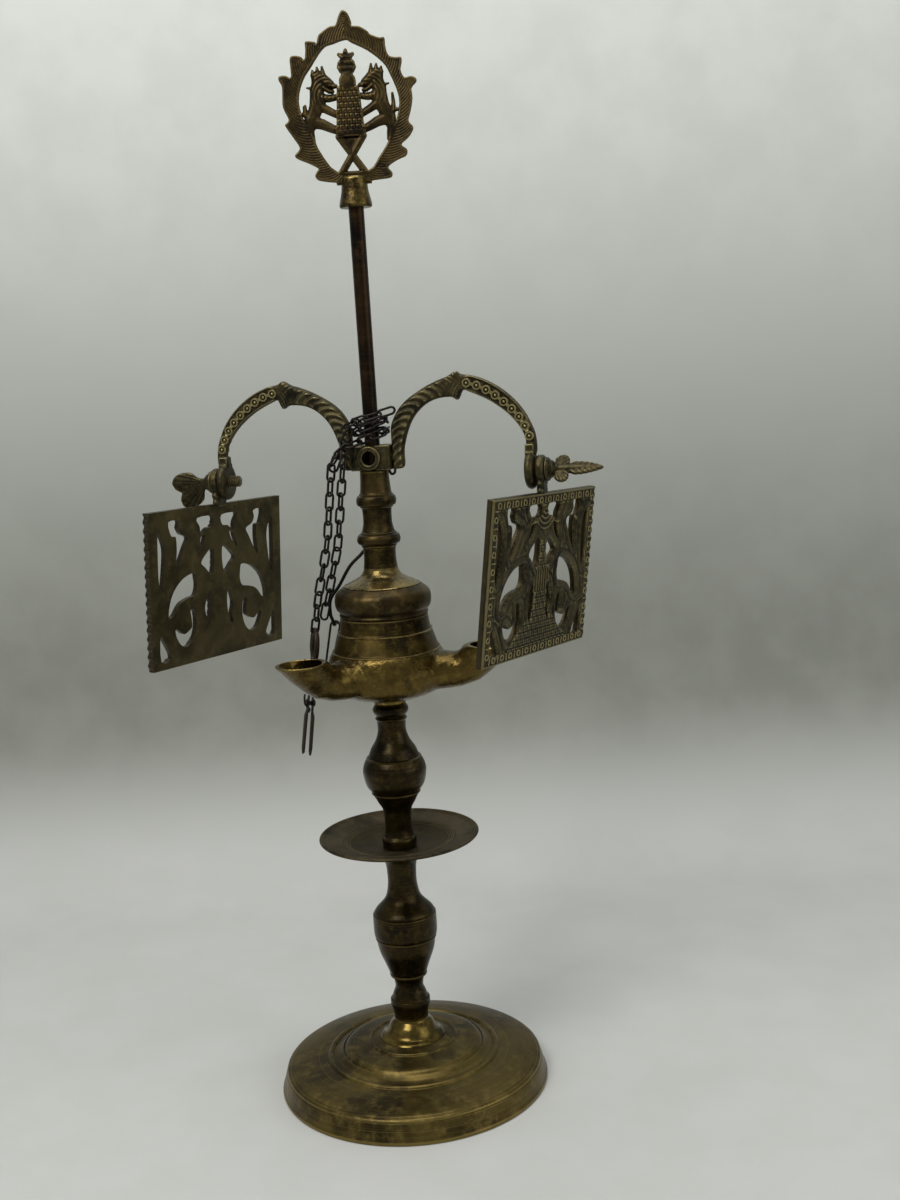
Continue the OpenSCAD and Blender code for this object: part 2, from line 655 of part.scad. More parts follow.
// Three leaves, the middle one long and pointed
module right_thumb_screw() {
    color("#6f6547") translate([0, 0, eye_z]) along(front_az) thumb_screw(0.5) rotate([50, 0, 0]) {
        leaf(leaf_l, leaf_l * 0.3);
        for (s = [-1, 1]) rotate([0, 0, s * 52]) leaf(leaf_l * 0.38, leaf_l * 0.28);
        rotate([0, 90, 0]) cylinder(d1 = 4.2, d2 = 1.8, h = leaf_l * 0.9);
    }
}

// The middle leaf and one side leaf are left here, both broad and round
module left_thumb_screw() {
    color("#6f6547") translate([0, 0, eye_z]) along(front_az + 180) thumb_screw(5.5) rotate([80, 0, 0])
        for (a = [0, -40]) rotate([0, 0, a]) leaf(leaf_l * 0.8, leaf_l * 0.44);
}

// Finial: a leafy wreath round a tower between two rearing beasts, on a socket
module leaf_tip(size) {
    polygon(loop([
        [-size * 0.9, -size * 0.3], [-size * 0.5, size * 0.45], [size * 0.2, size * 0.75], [size * 0.95, size * 0.9],
        [size * 0.7, size * 0.1], [size * 0.6, -size * 0.6], [-size * 0.3, -size * 0.8]
    ], 3));
}

// Middle line of the wreath at turn a from its foot, in the finial's plane
function wreath_at(a) = let (w = wreath_w / 2 - 6, h = (wreath_h - 15) / 2)
    [sin(a) * w * (1 + 0.06 * cos(a)), h + 1.6 - cos(a) * h];

module wreath() {
    leaves = 6;
    for (s = [-1, 1]) {
        polygon(concat(
            [for (a = [0:6:180]) let (q = wreath_at(a)) [s * (q[0] + 2.4 * sin(a)), q[1] - 2.4 * cos(a)]],
            [for (a = [180:-6:0]) let (q = wreath_at(a)) [s * max(0, q[0] - 2.4 * sin(a)), q[1] + 2.4 * cos(a)]]
        ));
        for (i = [0:leaves - 1]) let (a = 24 + i * 25, q = wreath_at(a))
            translate([s * q[0], q[1]]) mirror([s < 0 ? 1 : 0, 0]) rotate(a - 66) translate([1.2, -1.2]) leaf_tip(5.4);
    }
    translate([0, wreath_h - 9]) polygon(loop([[-3.6, -6], [-4.4, 0], [-2.2, 5], [0, 9], [2.2, 5], [4.4, 0], [3.6, -6]], 3));
}

module beast(s) {
    k = wreath_w / 70;
    scale([s * k, wreath_h / 83]) polygon(loop([
        [4.2, 45.5], [8, 44.6], [10.4, 42.8], [9.6, 45.8], [7, 48.4], [9.4, 51], [7.6, 52.6], [10.4, 55], [12.8, 58.4],
        [14.2, 55.6], [16.2, 57.6], [16.6, 53], [18.2, 48], [17.4, 42], [16.4, 37], [18.6, 34.6], [22.4, 35.4],
        [23.8, 40.6], [25, 35.6], [27.6, 32], [25, 26.4], [22.6, 21.4], [20.4, 25.6], [15.4, 28.2], [10, 26.6], [5.6, 24.6],
        [5.2, 27], [10, 29.6], [12.6, 32.6], [12, 37.6], [8.4, 34.4], [4.8, 33.6], [5, 36], [8.4, 38.4], [9.2, 41.4], [4.4, 42.6]
    ], 2));
}

module finial_art() {
    w = wreath_w / 70;
    h = wreath_h / 83;
    scale([w, h]) {
        // tower, its cupola, crown band and star
        polygon([[-7.6, 22], [7.6, 22], [6, 46.6], [-6, 46.6]]);
        translate([0, 49.6]) circle(r = 4.4);
        translate([-3, 52]) square([6, 5.4]);
        for (t = [0, 60]) translate([0, 60.2]) rotate(t + 30) circle(r = 4.9, $fn = 3);
        // crossed struts under the tower
        for (s = [-1, 1]) polygon([[s * 6.4, 23], [s * 3.4, 23], [s * -8, 1.6], [s * -4.6, 1.6], [s * 7.6, 22]]);
    }
    beast(1);
    beast(-1);
}

module finial() {
    rise = socket_h;
    color("#6d5a30") translate([0, 0, finial_z]) difference() {
        union() {
            turned(concat(
                curve([[socket_d / 2 - 0.6, 0], [socket_d / 2, 1], [socket_d / 2 - 0.6, 3.6], [socket_d / 2 - 1.6, 9]], 3),
                [[socket_d / 2 - 2, socket_h]]
            ));
            translate([0, wreath_t / 2, rise - 1]) rotate([90, 0, 0]) linear_extrude(wreath_t) {
                wreath();
                finial_art();
            }
        }
        column(rod_d / 2 + tight_gap, -1, rod_top_z - finial_z + 0.4);
    }
}

// One chain link, its length along +X, centred
module link() {
    straight = link_l / 2 - link_w / 2;
    for (s = [-1, 1]) {
        translate([0, s * link_r, 0]) rotate([0, 90, 0]) cylinder(d = link_wire, h = 2 * straight, center = true, $fn = 16);
        translate([s * straight, 0, 0]) rotate([0, 0, s * -90]) rotate_extrude(angle = 180, $fn = 24)
            translate([link_r, 0]) circle(d = link_wire, $fn = 16);
    }
}

// Links hooked through each other along the joints p, each a quarter turn from the last
module chain(p, roll = 0) {
    for (i = [0:len(p) - 2]) let (d = p[i + 1] - p[i])
        translate((p[i] + p[i + 1]) / 2) rotate([0, -atan2(d[2], norm([d[0], d[1]])), atan2(d[1], d[0])])
            rotate([roll + 90 * (i % 2), 0, 0]) link();
}

link_slack = 1;
link_pitch = link_l - 2 * link_wire - link_slack;
wrap_r = rod_d / 2 + link_w / 2 + 1.6;
wrap_step = 2 * asin(link_pitch * 0.985 / 2 / wrap_r);
wrap_rise = link_w + 0.2;
wrap_slope = 0.21;
wrap_from = 235;
wrap_z = block_z + block_h + loose_gap + link_w / 2 + 0.2;

// Joint i of the wraps, in the bracket's own frame; the turns slope up towards the right arm
function wrap_at(i) = let (a = wrap_from + i * wrap_step, x = wrap_r * cos(a))
    [x, wrap_r * sin(a), wrap_z + wrap_rise * i * wrap_step / 360 + x * wrap_slope];

// The chain leaves the wraps in front of the left arm's root, and a spare end hooks onto it
lead_a = [
    wrap_at(0), wrap_at(0) + [-4.8, -5.5, -2], wrap_at(0) + [-10.6, -6.5, -6.8], wrap_at(0) + [-15.4, -3, -11.6]
];
lead_b = [wrap_at(0) + [-7.3, -5.3, -5], wrap_at(0) + [-7.8, -6.9, -12.4]];

module chain_wraps() {
    n = floor(wrap_turns * 360 / wrap_step);
    color(iron) rotate([0, 0, front_az]) {
        chain([for (i = [0:n]) wrap_at(i)], 135);
        chain(lead_a, -20);
        chain(lead_b, 90);
    }
}

// Scissors: the pivot in the bracket's frame, the blades down
scissors_at = [-bowl_d / 2 - 9.4, -8, neck_z - 73];
scissors_turn = -56;
scissors_lean = 9;
loops_h = scissors_l * 0.58;
loop_w = 10;
loop_h = 17;
loop_wire = 1.9;
loop_side = 5.2;
rivet_r = 1.2;

function on_scissors(x, z) = scissors_at + [
    x * cos(scissors_turn) * cos(scissors_lean) + z * sin(scissors_lean),
    x * sin(scissors_turn),
    z * cos(scissors_lean) - x * cos(scissors_turn) * sin(scissors_lean)
];

// Point at the distance s along the straight pieces of a path
function walk(path, s, i = 0) = let (d = path[i + 1] - path[i], l = norm(d))
    s <= l || i == len(path) - 2 ? path[i] + d * min(1, s / l) : walk(path, s - l, i + 1);

function path_length(path, i = 0) = i > len(path) - 2 ? 0 : norm(path[i + 1] - path[i]) + path_length(path, i + 1);

// Joints of a chain laid along a path
function laid(path) = let (l = path_length(path), n = round(l / link_pitch)) [for (i = [0:n]) walk(path, l * i / n)];

path_a = [lead_a[3], [-26.4, -8.6, neck_z + 14], [-34, -8.6, neck_z - 15], on_scissors(-loop_side, loops_h - loop_wire - 0.4)];
path_b = [lead_b[1], [-22.6, -2.6, neck_z + 12], [-31, -1.4, neck_z - 16], [-34.4, -1, neck_z - 27]];

module tool_chains() {
    color(iron) rotate([0, 0, front_az]) {
        chain(laid(path_a), 90);
        chain(laid(path_b), 90);
    }
}

function oval(w, h) = [for (a = [0:15:345]) [w / 2 * cos(a), h / 2 * sin(a)]];

// One half of the scissors, its finger loop on the left for side = -1
module scissors_half(side) {
    blade_h = scissors_l - loops_h;
    loop_z = loops_h - loop_h / 2;
    mirror([side > 0 ? 1 : 0, 0, 0]) rotate([90, 0, 0]) linear_extrude(scissors_t) difference() {
        union() {
            translate([-loop_side, loop_z]) polygon(oval(loop_w, loop_h));
            // shank down to the pivot, then the blade
            polygon([
                [-3.6, loops_h - loop_h + 2], [-6, loops_h - loop_h + 0.8], [-2.8, 4], [-1.8, -3],
                [-0.4, 1.4 - blade_h], [1.6, -blade_h], [3.2, 4 - blade_h], [2.8, -6], [2.2, 0], [-0.4, 7]
            ]);
            circle(r = 3.2);
        }
        translate([-loop_side, loop_z]) polygon(oval(loop_w - 2 * loop_wire, loop_h - 2 * loop_wire));
        circle(r = rivet_r + tight_gap);
    }
}

module scissors_place() {
    rotate([0, 0, front_az]) translate(scissors_at) rotate([0, scissors_lean, 0]) rotate([0, 0, scissors_turn])
        children();
}

module scissors_half_a() {
    color("#3b322a") scissors_place() translate([0, scissors_t / 2, 0]) scissors_half(-1);
}

module scissors_half_b() {
    color("#3b322a") scissors_place() translate([0, -scissors_t / 2 - tight_gap, 0]) scissors_half(1);
}

module scissors_rivet() {
    color(iron) scissors_place() translate([0, scissors_t / 2, 0]) rotate([90, 0, 0]) {
        translate([0, 0, -0.8 - tight_gap]) cylinder(r = rivet_r + 0.7, h = 0.8);
        translate([0, 0, -tight_gap - 0.1]) cylinder(r = rivet_r, h = 2 * scissors_t + 3 * tight_gap + 0.2);
        translate([0, 0, 2 * scissors_t + 2 * tight_gap]) cylinder(r = rivet_r + 0.7, h = 0.8);
    }
}

// A round wire swept along points that never run along +X
module wire(p, r, sides = 10) {
    n = len(p);
    ring = [for (i = [0:n - 1]) let (
        d = p[min(n - 1, i + 1)] - p[max(0, i - 1)], u = cross(d, [1, 0, 0]), v = cross(d, u)
    ) for (k = [0:sides - 1]) p[i] + r * (cos(360 * k / sides) * u / norm(u) + sin(360 * k / sides) * v / norm(v))];
    polyhedron(ring, concat(
        [[for (k = [0:sides - 1]) k], [for (k = [sides - 1:-1:0]) (n - 1) * sides + k]],
        [for (i = [0:n - 2], k = [0:sides - 1]) let (a = i * sides, b = a + sides, j = (k + 1) % sides)
            [a + k, b + k, b + j, a + j]]
    ));
}

// The pick's wire hooks over the block's back corner, drops behind the neck, swings out past the cap
// and ends in a foot that carries the tweezers
hook_z = block_z + block_h + pick_d / 2 + loose_gap;
wire_out = bowl_d / 2 - 33;
pick_end = [-31.4 - wire_out, 8, neck_z - 32];
pick_route = [
    [-9.4, block_w / 2 - 1.6, hook_z], [-9.4, block_w / 2 + 0.6, hook_z], [-9.5, block_w / 2 + 1.9, hook_z - 2],
    [-9.6, block_w / 2 + 2.1, block_z + 4], [-9.6, 11.8, neck_z + 34], [-9.6, 11.4, neck_z + 14],
    [-13.2, 9.8, neck_z + 7], [-20.2, 7.6, neck_z], [-26.6, 6, neck_z - 10.4],
    [-31.6 - wire_out, 4.4, neck_z - 17.6], [-32 - wire_out, 3.4, neck_z - 25.4],
    pick_end + [0.5, -4.6, 2.6], pick_end + [0.4, -3.2, 0.2], pick_end, pick_end + [-0.6, 3.8, 0]
];

module wire_pick() {
    color(iron) rotate([0, 0, front_az]) wire(curve(pick_route, 4), pick_d / 2);
}

// Wick tweezers: one strip bent double over the pick's foot, tips down
module tweezers() {
    w = 5;
    t = 0.9;
    gape = 3;
    arc = function(r) [for (a = [0:15:180]) [r * cos(a), r * sin(a)]];
    drop = tweezers_l - gape;
    color(iron) rotate([0, 0, front_az]) translate(pick_end - [0, 0, gape - t - pick_d / 2 - loose_gap])
        rotate([0, 14, 0]) rotate([0, 0, 10]) translate([0, w / 2, 0]) rotate([90, 0, 0]) linear_extrude(w) polygon(concat(
            [[0.5, -drop], [1.5, -drop]], arc(gape), [[-1.5, -drop], [-0.5, -drop]],
            [for (i = [12:-1:0]) arc(gape - t)[i]]
        ));
}

foot();
foot_washer();
foot_nut();
lower_stem();
drip_tray();
upper_stem();
centre_rod();
reservoir();
reservoir_tube();
reservoir_cap();
cap_neck();
arm_collar();
left_arm();
right_arm();
left_screen();
right_screen();
left_thumb_screw();
right_thumb_screw();
finial();
chain_wraps();
tool_chains();
scissors_half_a();
scissors_half_b();
scissors_rivet();
tweezers();
wire_pick();
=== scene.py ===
"""Looks of the standing oil lamp: aged turned brass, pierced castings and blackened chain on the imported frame."""

import logging
import math
from dataclasses import dataclass, field
from enum import Enum
from typing import Sequence

import bpy
import numpy as np
from mathutils import Matrix, Vector
from mathutils.geometry import delaunay_2d_cdt


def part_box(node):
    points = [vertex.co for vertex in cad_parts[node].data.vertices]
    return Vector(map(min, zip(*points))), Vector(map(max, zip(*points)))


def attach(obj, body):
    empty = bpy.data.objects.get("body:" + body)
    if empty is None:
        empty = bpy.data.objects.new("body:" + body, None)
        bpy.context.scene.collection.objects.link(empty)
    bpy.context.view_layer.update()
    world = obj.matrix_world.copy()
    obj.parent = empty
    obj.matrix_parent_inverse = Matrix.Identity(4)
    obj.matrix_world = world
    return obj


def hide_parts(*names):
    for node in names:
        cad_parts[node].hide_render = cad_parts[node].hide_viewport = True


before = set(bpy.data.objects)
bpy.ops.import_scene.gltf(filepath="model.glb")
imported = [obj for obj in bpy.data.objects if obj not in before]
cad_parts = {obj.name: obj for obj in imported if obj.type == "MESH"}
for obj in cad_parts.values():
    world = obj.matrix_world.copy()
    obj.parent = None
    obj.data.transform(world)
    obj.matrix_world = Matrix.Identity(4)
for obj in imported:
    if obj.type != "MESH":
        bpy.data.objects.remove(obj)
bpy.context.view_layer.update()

log = logging.getLogger("oil_lamp")

MM = 0.001
FRONT_AZ = -16.0
Array = np.ndarray
Point = tuple[float, float]


# Shapes in millimetres


@dataclass
class Shape:
    """A closed skin in millimetres: its points and its faces."""

    points: Array
    faces: list

    def moved(self, matrix: Matrix) -> "Shape":
        """Returns the shape carried by a matrix in millimetres."""
        m = np.array(matrix)
        return Shape(self.points @ m[:3, :3].T + m[:3, 3], self.faces)

    def joined(self, *others: "Shape") -> "Shape":
        """Returns this shape and the others as one list of points and faces."""
        points, faces = [self.points], list(self.faces)
        start = len(self.points)
        for other in others:
            points.append(other.points)
            faces.extend([tuple(i + start for i in f) for f in other.faces])
            start += len(other.points)
        return Shape(np.concatenate(points), faces)


def span(node: str) -> tuple[Vector, Vector]:
    """Returns the lowest and highest corner of a CAD node, in millimetres."""
    low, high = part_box(node)
    return low / MM, high / MM


def shift(x: float, y: float, z: float) -> Matrix:
    """Returns a move in millimetres."""
    return Matrix.Translation((x, y, z))


def turn(degrees: float, axis: str) -> Matrix:
    """Returns a turn about one axis."""
    return Matrix.Rotation(math.radians(degrees), 4, axis)


def curve(points: Sequence[Sequence[float]], n: int = 10) -> list[tuple[float, ...]]:
    """Runs a smooth line through points.

    Args:
        points: The points that the line passes.
        n: Steps between two neighbours.

    Returns:
        The points of the smooth line, the last one included.
    """
    p = np.array([points[0], *points, points[-1]], float)
    out = []
    for i in range(1, len(p) - 2):
        a, b, c, d = p[i - 1], p[i], p[i + 1], p[i + 2]
        for k in range(n):
            t = k / n
            q = 2 * b + (c - a) * t + (2 * a - 5 * b + 4 * c - d) * t**2 + (3 * b - a - 3 * c + d) * t**3
            out.append(tuple(0.5 * q))
    out.append(tuple(p[-1]))
    return out


def loop(points: Sequence[Point], n: int = 4) -> list[Point]:
    """Runs a smooth closed line through points, with n steps between two neighbours."""
    p = np.array(points, float)
    out = []
    for i in range(len(p)):
        a, b, c, d = (p[(i + k) % len(p)] for k in (-1, 0, 1, 2))
        for k in range(n):
            t = k / n
            q = 2 * b + (c - a) * t + (2 * a - 5 * b + 4 * c - d) * t**2 + (3 * b - a - 3 * c + d) * t**3
            out.append(tuple(0.5 * q))
    return out


def lathe(profile: Sequence[Point], sides: int = 144) -> Shape:
    """Turns a profile round the column's axis.

    Args:
        profile: Points of radius and height, up the outside and back down the bore. It is closed on itself,
            or starts and ends on the axis.
        sides: Faces round the turned piece.

    Returns:
        The closed skin, facing outwards.
    """
    profile = [p for i, p in enumerate(profile) if i == 0 or math.dist(p, profile[i - 1]) > 1e-6]
    capped = profile[0][0] < 1e-6 and profile[-1][0] < 1e-6
    line = profile[1:-1] if capped else profile
    angle = np.linspace(0, 2 * np.pi, sides, endpoint=False)
    r = np.array([p[0] for p in line])[:, None]
    z = np.array([p[1] for p in line])[:, None] + 0 * angle
    points = np.stack([r * np.cos(angle), r * np.sin(angle), z], -1).reshape(-1, 3)
    rows = len(line)
    faces = []
    for i in range(rows - 1 if capped else rows):
        a, b = i * sides, (i + 1) % rows * sides
        faces.extend((a + k, a + (k + 1) % sides, b + (k + 1) % sides, b + k) for k in range(sides))
    if capped:
        low, high = len(points), len(points) + 1
        points = np.vstack([points, [0, 0, profile[0][1]], [0, 0, profile[-1][1]]])
        top = (rows - 1) * sides
        faces.extend((low, (k + 1) % sides, k) for k in range(sides))
        faces.extend((high, top + k, top + (k + 1) % sides) for k in range(sides))
    return Shape(points, faces)


def loft(rings: Sequence[Array]) -> Shape:
    """Joins rings of equal length into a closed tube, each ring seen anticlockwise from the tube's far end."""
    n = len(rings[0])
    faces = [tuple(reversed(range(n))), tuple(range((len(rings) - 1) * n, len(rings) * n))]
    for i in range(len(rings) - 1):
        a, b = i * n, (i + 1) * n
        faces.extend((a + k, a + (k + 1) % n, b + (k + 1) % n, b + k) for k in range(n))
    return Shape(np.concatenate(rings), faces)


def block(low: Sequence[float], high: Sequence[float]) -> Shape:
    """Returns a box from its lowest to its highest corner."""
    (a, b, c), (d, e, f) = low, high
    points = np.array([(a, b, c), (d, b, c), (d, e, c), (a, e, c), (a, b, f), (d, b, f), (d, e, f), (a, e, f)], float)
    faces = [(0, 3, 2, 1), (4, 5, 6, 7), (0, 1, 5, 4), (1, 2, 6, 5), (2, 3, 7, 6), (3, 0, 4, 7)]
    return Shape(points, faces)


def scratch_object(shape: Shape) -> bpy.types.Object:
    """Returns a linked object in millimetres, for a modifier to work on."""
    mesh = bpy.data.meshes.new("work")
    mesh.from_pydata(shape.points.tolist(), [], shape.faces)
    obj = bpy.data.objects.new("work", mesh)
    bpy.context.scene.collection.objects.link(obj)
    return obj


def taken_from(obj: bpy.types.Object) -> Shape:
    """Returns the evaluated shape of an object and deletes the object."""
    bpy.context.view_layer.update()
    mesh = bpy.data.meshes.new_from_object(obj.evaluated_get(bpy.context.evaluated_depsgraph_get()))
    points = np.zeros(len(mesh.vertices) * 3)
    mesh.vertices.foreach_get("co", points)
    shape = Shape(points.reshape(-1, 3), [tuple(p.vertices) for p in mesh.polygons])
    bpy.data.meshes.remove(mesh)
    bpy.data.objects.remove(obj)
    return shape


def recast(shape: Shape, voxel: float, smooth: int = 4, cutter: Shape | None = None) -> Shape:
    """Melts overlapping closed shapes into one skin with the soft edges of a casting.

    Args:
        shape: The overlapping shapes.
        voxel: Size of the skin's faces.
        smooth: Rounds of smoothing after that.
        cutter: What is cut out first.

    Returns:
        The one closed skin.
    """
    obj = scratch_object(shape)
    tool = None
    if cutter is not None:
        tool = scratch_object(cutter)
        cut = obj.modifiers.new("Hollow", "BOOLEAN")
        cut.operation, cut.solver, cut.object, cut.use_self = "DIFFERENCE", "EXACT", tool, True
    skin = obj.modifiers.new("Skin", "REMESH")
    skin.mode, skin.voxel_size = "VOXEL", voxel
    soft = obj.modifiers.new("Soft", "SMOOTH")
    soft.factor, soft.iterations = 0.5, smooth
    made = taken_from(obj)
    if tool is not None:
        bpy.data.objects.remove(tool)
    return made


def cad_copy(node: str) -> Shape:
    """Returns a merged copy of a CAD node's mesh in millimetres."""
    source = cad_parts[node].data
    points = np.zeros(len(source.vertices) * 3)
    source.vertices.foreach_get("co", points)
    keys = np.round(points.reshape(-1, 3) / MM, 3)
    unique, where = np.unique(keys, axis=0, return_inverse=True)
    where = where.ravel()
    faces = [tuple(int(where[i]) for i in p.vertices) for p in source.polygons]
    return Shape(unique, [f for f in faces if len(set(f)) == len(f)])


# Drawn fields: positive inside a drawing, in millimetres from its edge


class Drawing:
    """A flat grid on which a casting is drawn, its X across and its Y up."""

    def __init__(self, low: Point, high: Point, step: float) -> None:
        """Lays the grid out.

        Args:
            low: Lower left corner.
            high: Upper right corner.
            step: Distance between the grid's lines.
        """
        self.xs = np.arange(low[0] - 2 * step, high[0] + 2.5 * step, step)
        self.ys = np.arange(low[1] - 2 * step, high[1] + 2.5 * step, step)
        self.x, self.y = np.meshgrid(self.xs, self.ys)

    def polygon(self, corners: Sequence[Point]) -> Array:
        """Returns the field of a polygon."""
        p = np.array(corners, float)
        near = np.full(self.x.shape, 1e9)
        inside = np.zeros(self.x.shape, bool)
        for (ax, ay), (bx, by) in zip(p, np.roll(p, -1, 0)):
            dx, dy = bx - ax, by - ay
            t = np.clip(((self.x - ax) * dx + (self.y - ay) * dy) / max(dx * dx + dy * dy, 1e-12), 0, 1)
            near = np.minimum(near, (self.x - ax - t * dx) ** 2 + (self.y - ay - t * dy) ** 2)
            if ay != by:
                crossing = (ay > self.y) != (by > self.y)
                inside ^= crossing & (self.x < ax + (self.y - ay) * dx / dy)
        return np.where(inside, 1, -1) * np.sqrt(near)

    def stroke(self, path: Sequence[Point], *radii: float) -> Array:
        """Returns the field of a rounded stroke.

        Args:
            path: Its points.
            *radii: Its half width at the start and, if it tapers, at the end.

        Returns:
            The field.
        """
        best = np.full(self.x.shape, -1e9)
        steps = len(path) - 1
        for i in range(steps):
            (ax, ay), (bx, by) = path[i], path[i + 1]
            dx, dy = bx - ax, by - ay
            t = np.clip(((self.x - ax) * dx + (self.y - ay) * dy) / max(dx * dx + dy * dy, 1e-12), 0, 1)
            r = radii[0] + (radii[-1] - radii[0]) * (i + t) / steps
            best = np.maximum(best, r - np.hypot(self.x - ax - t * dx, self.y - ay - t * dy))
        return best

    def along(self, path: Sequence[Point]) -> tuple[Array, Array]:
        """Measures every grid point against a path.

        Args:
            path: The path's points.

        Returns:
            The distance along the path, and the distance to its left.
        """
        near = np.full(self.x.shape, 1e9)
        s, q = np.zeros(self.x.shape), np.zeros(self.x.shape)
        done = 0.0
        for (ax, ay), (bx, by) in zip(path, path[1:]):
            dx, dy = bx - ax, by - ay
            length = math.hypot(dx, dy)
            t = np.clip(((self.x - ax) * dx + (self.y - ay) * dy) / length**2, 0, 1)
            d = np.hypot(self.x - ax - t * dx, self.y - ay - t * dy)
            side = (dx * (self.y - ay) - dy * (self.x - ax)) / length
            closer = d < near
            near = np.where(closer, d, near)
            s = np.where(closer, done + t * length, s)
            q = np.where(closer, np.sign(side) * d, q)
            done += length
        return s, q

    def cast(self, inside: Array, front: Array, back: Array | float, flat_back: bool = False) -> Shape:
        """Turns the drawing into a closed casting.

        Args:
            inside: The field of what is solid.
            front: Height of the front face.
            back: Height of the back face.
            flat_back: True for a flat back, which takes few faces.

        Returns:
            The closed skin.
        """
        ny, nx = self.x.shape
        node = np.arange(ny * nx).reshape(ny, nx)
        a, b, c, d = node[:-1, :-1].ravel(), node[:-1, 1:].ravel(), node[1:, 1:].ravel(), node[1:, :-1].ravel()
        tri = np.concatenate([np.stack([a, b, c], 1), np.stack([a, c, d], 1)])
        f = inside.ravel()
        full = f > 0
        count = full[tri].sum(1)
        whole = tri[count == 3]
        one, two = tri[count == 1], tri[count == 2]
        one = self._rolled(one, full[one])
        two = self._rolled(two, ~full[two])
        cuts = np.concatenate([one[:, [0, 1]], one[:, [0, 2]], two[:, [1, 0]], two[:, [2, 0]]])
        keys = np.sort(cuts, 1)
        unique, where = np.unique(keys[:, 0] * (nx * ny) + keys[:, 1], return_inverse=True)
        where = where.ravel() + nx * ny
        low, high = unique // (nx * ny), unique % (nx * ny)
        t = np.clip(f[low] / (f[low] - f[high]), 0.03, 0.97)

        def at_cut(values: Array) -> Array:
            """Returns grid values with the values at the cuts after them."""
            v = np.broadcast_to(values, self.x.shape).ravel()
            return np.concatenate([v, v[low] + (v[high] - v[low]) * t])

        n1, n2 = len(one), len(two)
        e1, e2, e3, e4 = where[:n1], where[n1 : 2 * n1], where[2 * n1 : 2 * n1 + n2], where[2 * n1 + n2 :]
        front_faces = np.concatenate([
            whole,
            np.stack([one[:, 0], e1, e2], 1),
            np.stack([e3, two[:, 1], two[:, 2]], 1),
            np.stack([e3, two[:, 2], e4], 1),
        ])
        rim = np.concatenate([np.stack([e1, e2], 1), np.stack([e4, e3], 1)])
        x, y = at_cut(self.x), at_cut(self.y)
        total = len(x)
        zf, zb = at_cut(front), at_cut(back)
        points = [np.stack([x, y, zf], 1), np.stack([x, y, zb], 1)]
        u, v = rim[:, 0], rim[:, 1]
        quads = np.stack([u, u + total, v + total, v], 1).tolist()
        if flat_back:
            back_faces = self._flat(inside, rim, points[0][:, :2])[:, ::-1] + total
        else:
            back_faces = front_faces[:, ::-1] + total
        faces = front_faces.tolist() + back_faces.tolist() + quads
        return trimmed(Shape(np.concatenate(points), faces))

    def _flat(self, inside: Array, rim: Array, place: Array) -> Array:
        """Fills the outline of the drawing with few triangles.

        Args:
            inside: The field of what is solid.
            rim: Pairs of points along the outline.
            place: Where each point is.

        Returns:
            The triangles.
        """
        total = len(place)
        used, small = np.unique(rim, return_inverse=True)
        flat = [Vector(p) for p in place[used].tolist()]
        result = delaunay_2d_cdt(flat, small.reshape(-1, 2).tolist(), [], 0, 1e-6)
        tri = used[np.array([src[0] for src in result[3]])][np.array(result[2])]
        sides = np.sort(tri[:, [[0, 1], [1, 2], [2, 0]]], axis=2)
        keys = (sides[..., 0] * total + sides[..., 1]).ravel()
        walls = np.sort(rim, 1)
        free = ~np.isin(keys, walls[:, 0] * total + walls[:, 1])
        order = np.argsort(keys, kind="stable")
        one, two = order[:-1], order[1:]
        shared = (keys[one] == keys[two]) & free[one]
        one, two = one[shared] // 3, two[shared] // 3
        label = np.arange(len(tri))
        while True:
            low = label.copy()
            least = np.minimum(label[one], label[two])
            np.minimum.at(low, one, least)
            np.minimum.at(low, two, least)
            low = low[low]
            if (low == label).all():
                break
            label = low
        p, q, r = (place[tri[:, k]] for k in range(3))
        area = np.abs((q - p)[:, 0] * (r - p)[:, 1] - (q - p)[:, 1] * (r - p)[:, 0])
        step = self.xs[1] - self.xs[0]
        middle = (p + q + r) / 3
        col = np.clip(np.round((middle[:, 0] - self.xs[0]) / step).astype(int), 0, len(self.xs) - 1)
        row = np.clip(np.round((middle[:, 1] - self.ys[0]) / step).astype(int), 0, len(self.ys) - 1)
        solid = np.bincount(label, area * np.sign(inside[row, col]), len(tri))
        return tri[solid[label] > 0]

    @staticmethod
    def _rolled(tri: Array, mask: Array) -> Array:
        """Rolls each triangle so that its marked corner comes first."""
        start = mask.argmax(1)[:, None]
        return np.take_along_axis(tri, (start + np.arange(3)) % 3, 1)


def trimmed(shape: Shape) -> Shape:
    """Drops the points that no face uses."""
    used = np.unique(np.concatenate([np.ravel(f) for f in shape.faces])) if shape.faces else np.array([], int)
    new = np.full(len(shape.points), -1)
    new[used] = np.arange(len(used))
    return Shape(shape.points[used], [tuple(new[list(f)].tolist()) for f in shape.faces])


def soft_max(a: Array, b: Array, k: float) -> Array:
    """Joins two fields with a fillet of size k."""
    h = np.clip(0.5 + 0.5 * (a - b) / k, 0, 1)
    return b + (a - b) * h + k * h * (1 - h)


def eased(field_: Array, low: float, high: float) -> Array:
    """Returns 0 below low, 1 above high and a smooth step between them."""
    t = np.clip((field_ - low) / (high - low), 0, 1)
    return t * t * (3 - 2 * t)


def rounded_edge(distance: Array, radius: float) -> Array:
    """Returns how far an edge of that radius drops, at a distance from it."""
    d = np.clip(distance, 0, radius)
    return np.sqrt(np.maximum(radius**2 - (radius - d) ** 2, 0)) - radius


# Materials


def linear(colour: str) -> tuple[float, float, float, float]:
    """Returns a hex colour as linear values."""
    rgb = [int(colour[i : i + 2], 16) / 255 for i in (1, 3, 5)]
    return (*[c / 12.92 if c <= 0.04045 else ((c + 0.055) / 1.055) ** 2.4 for c in rgb], 1.0)


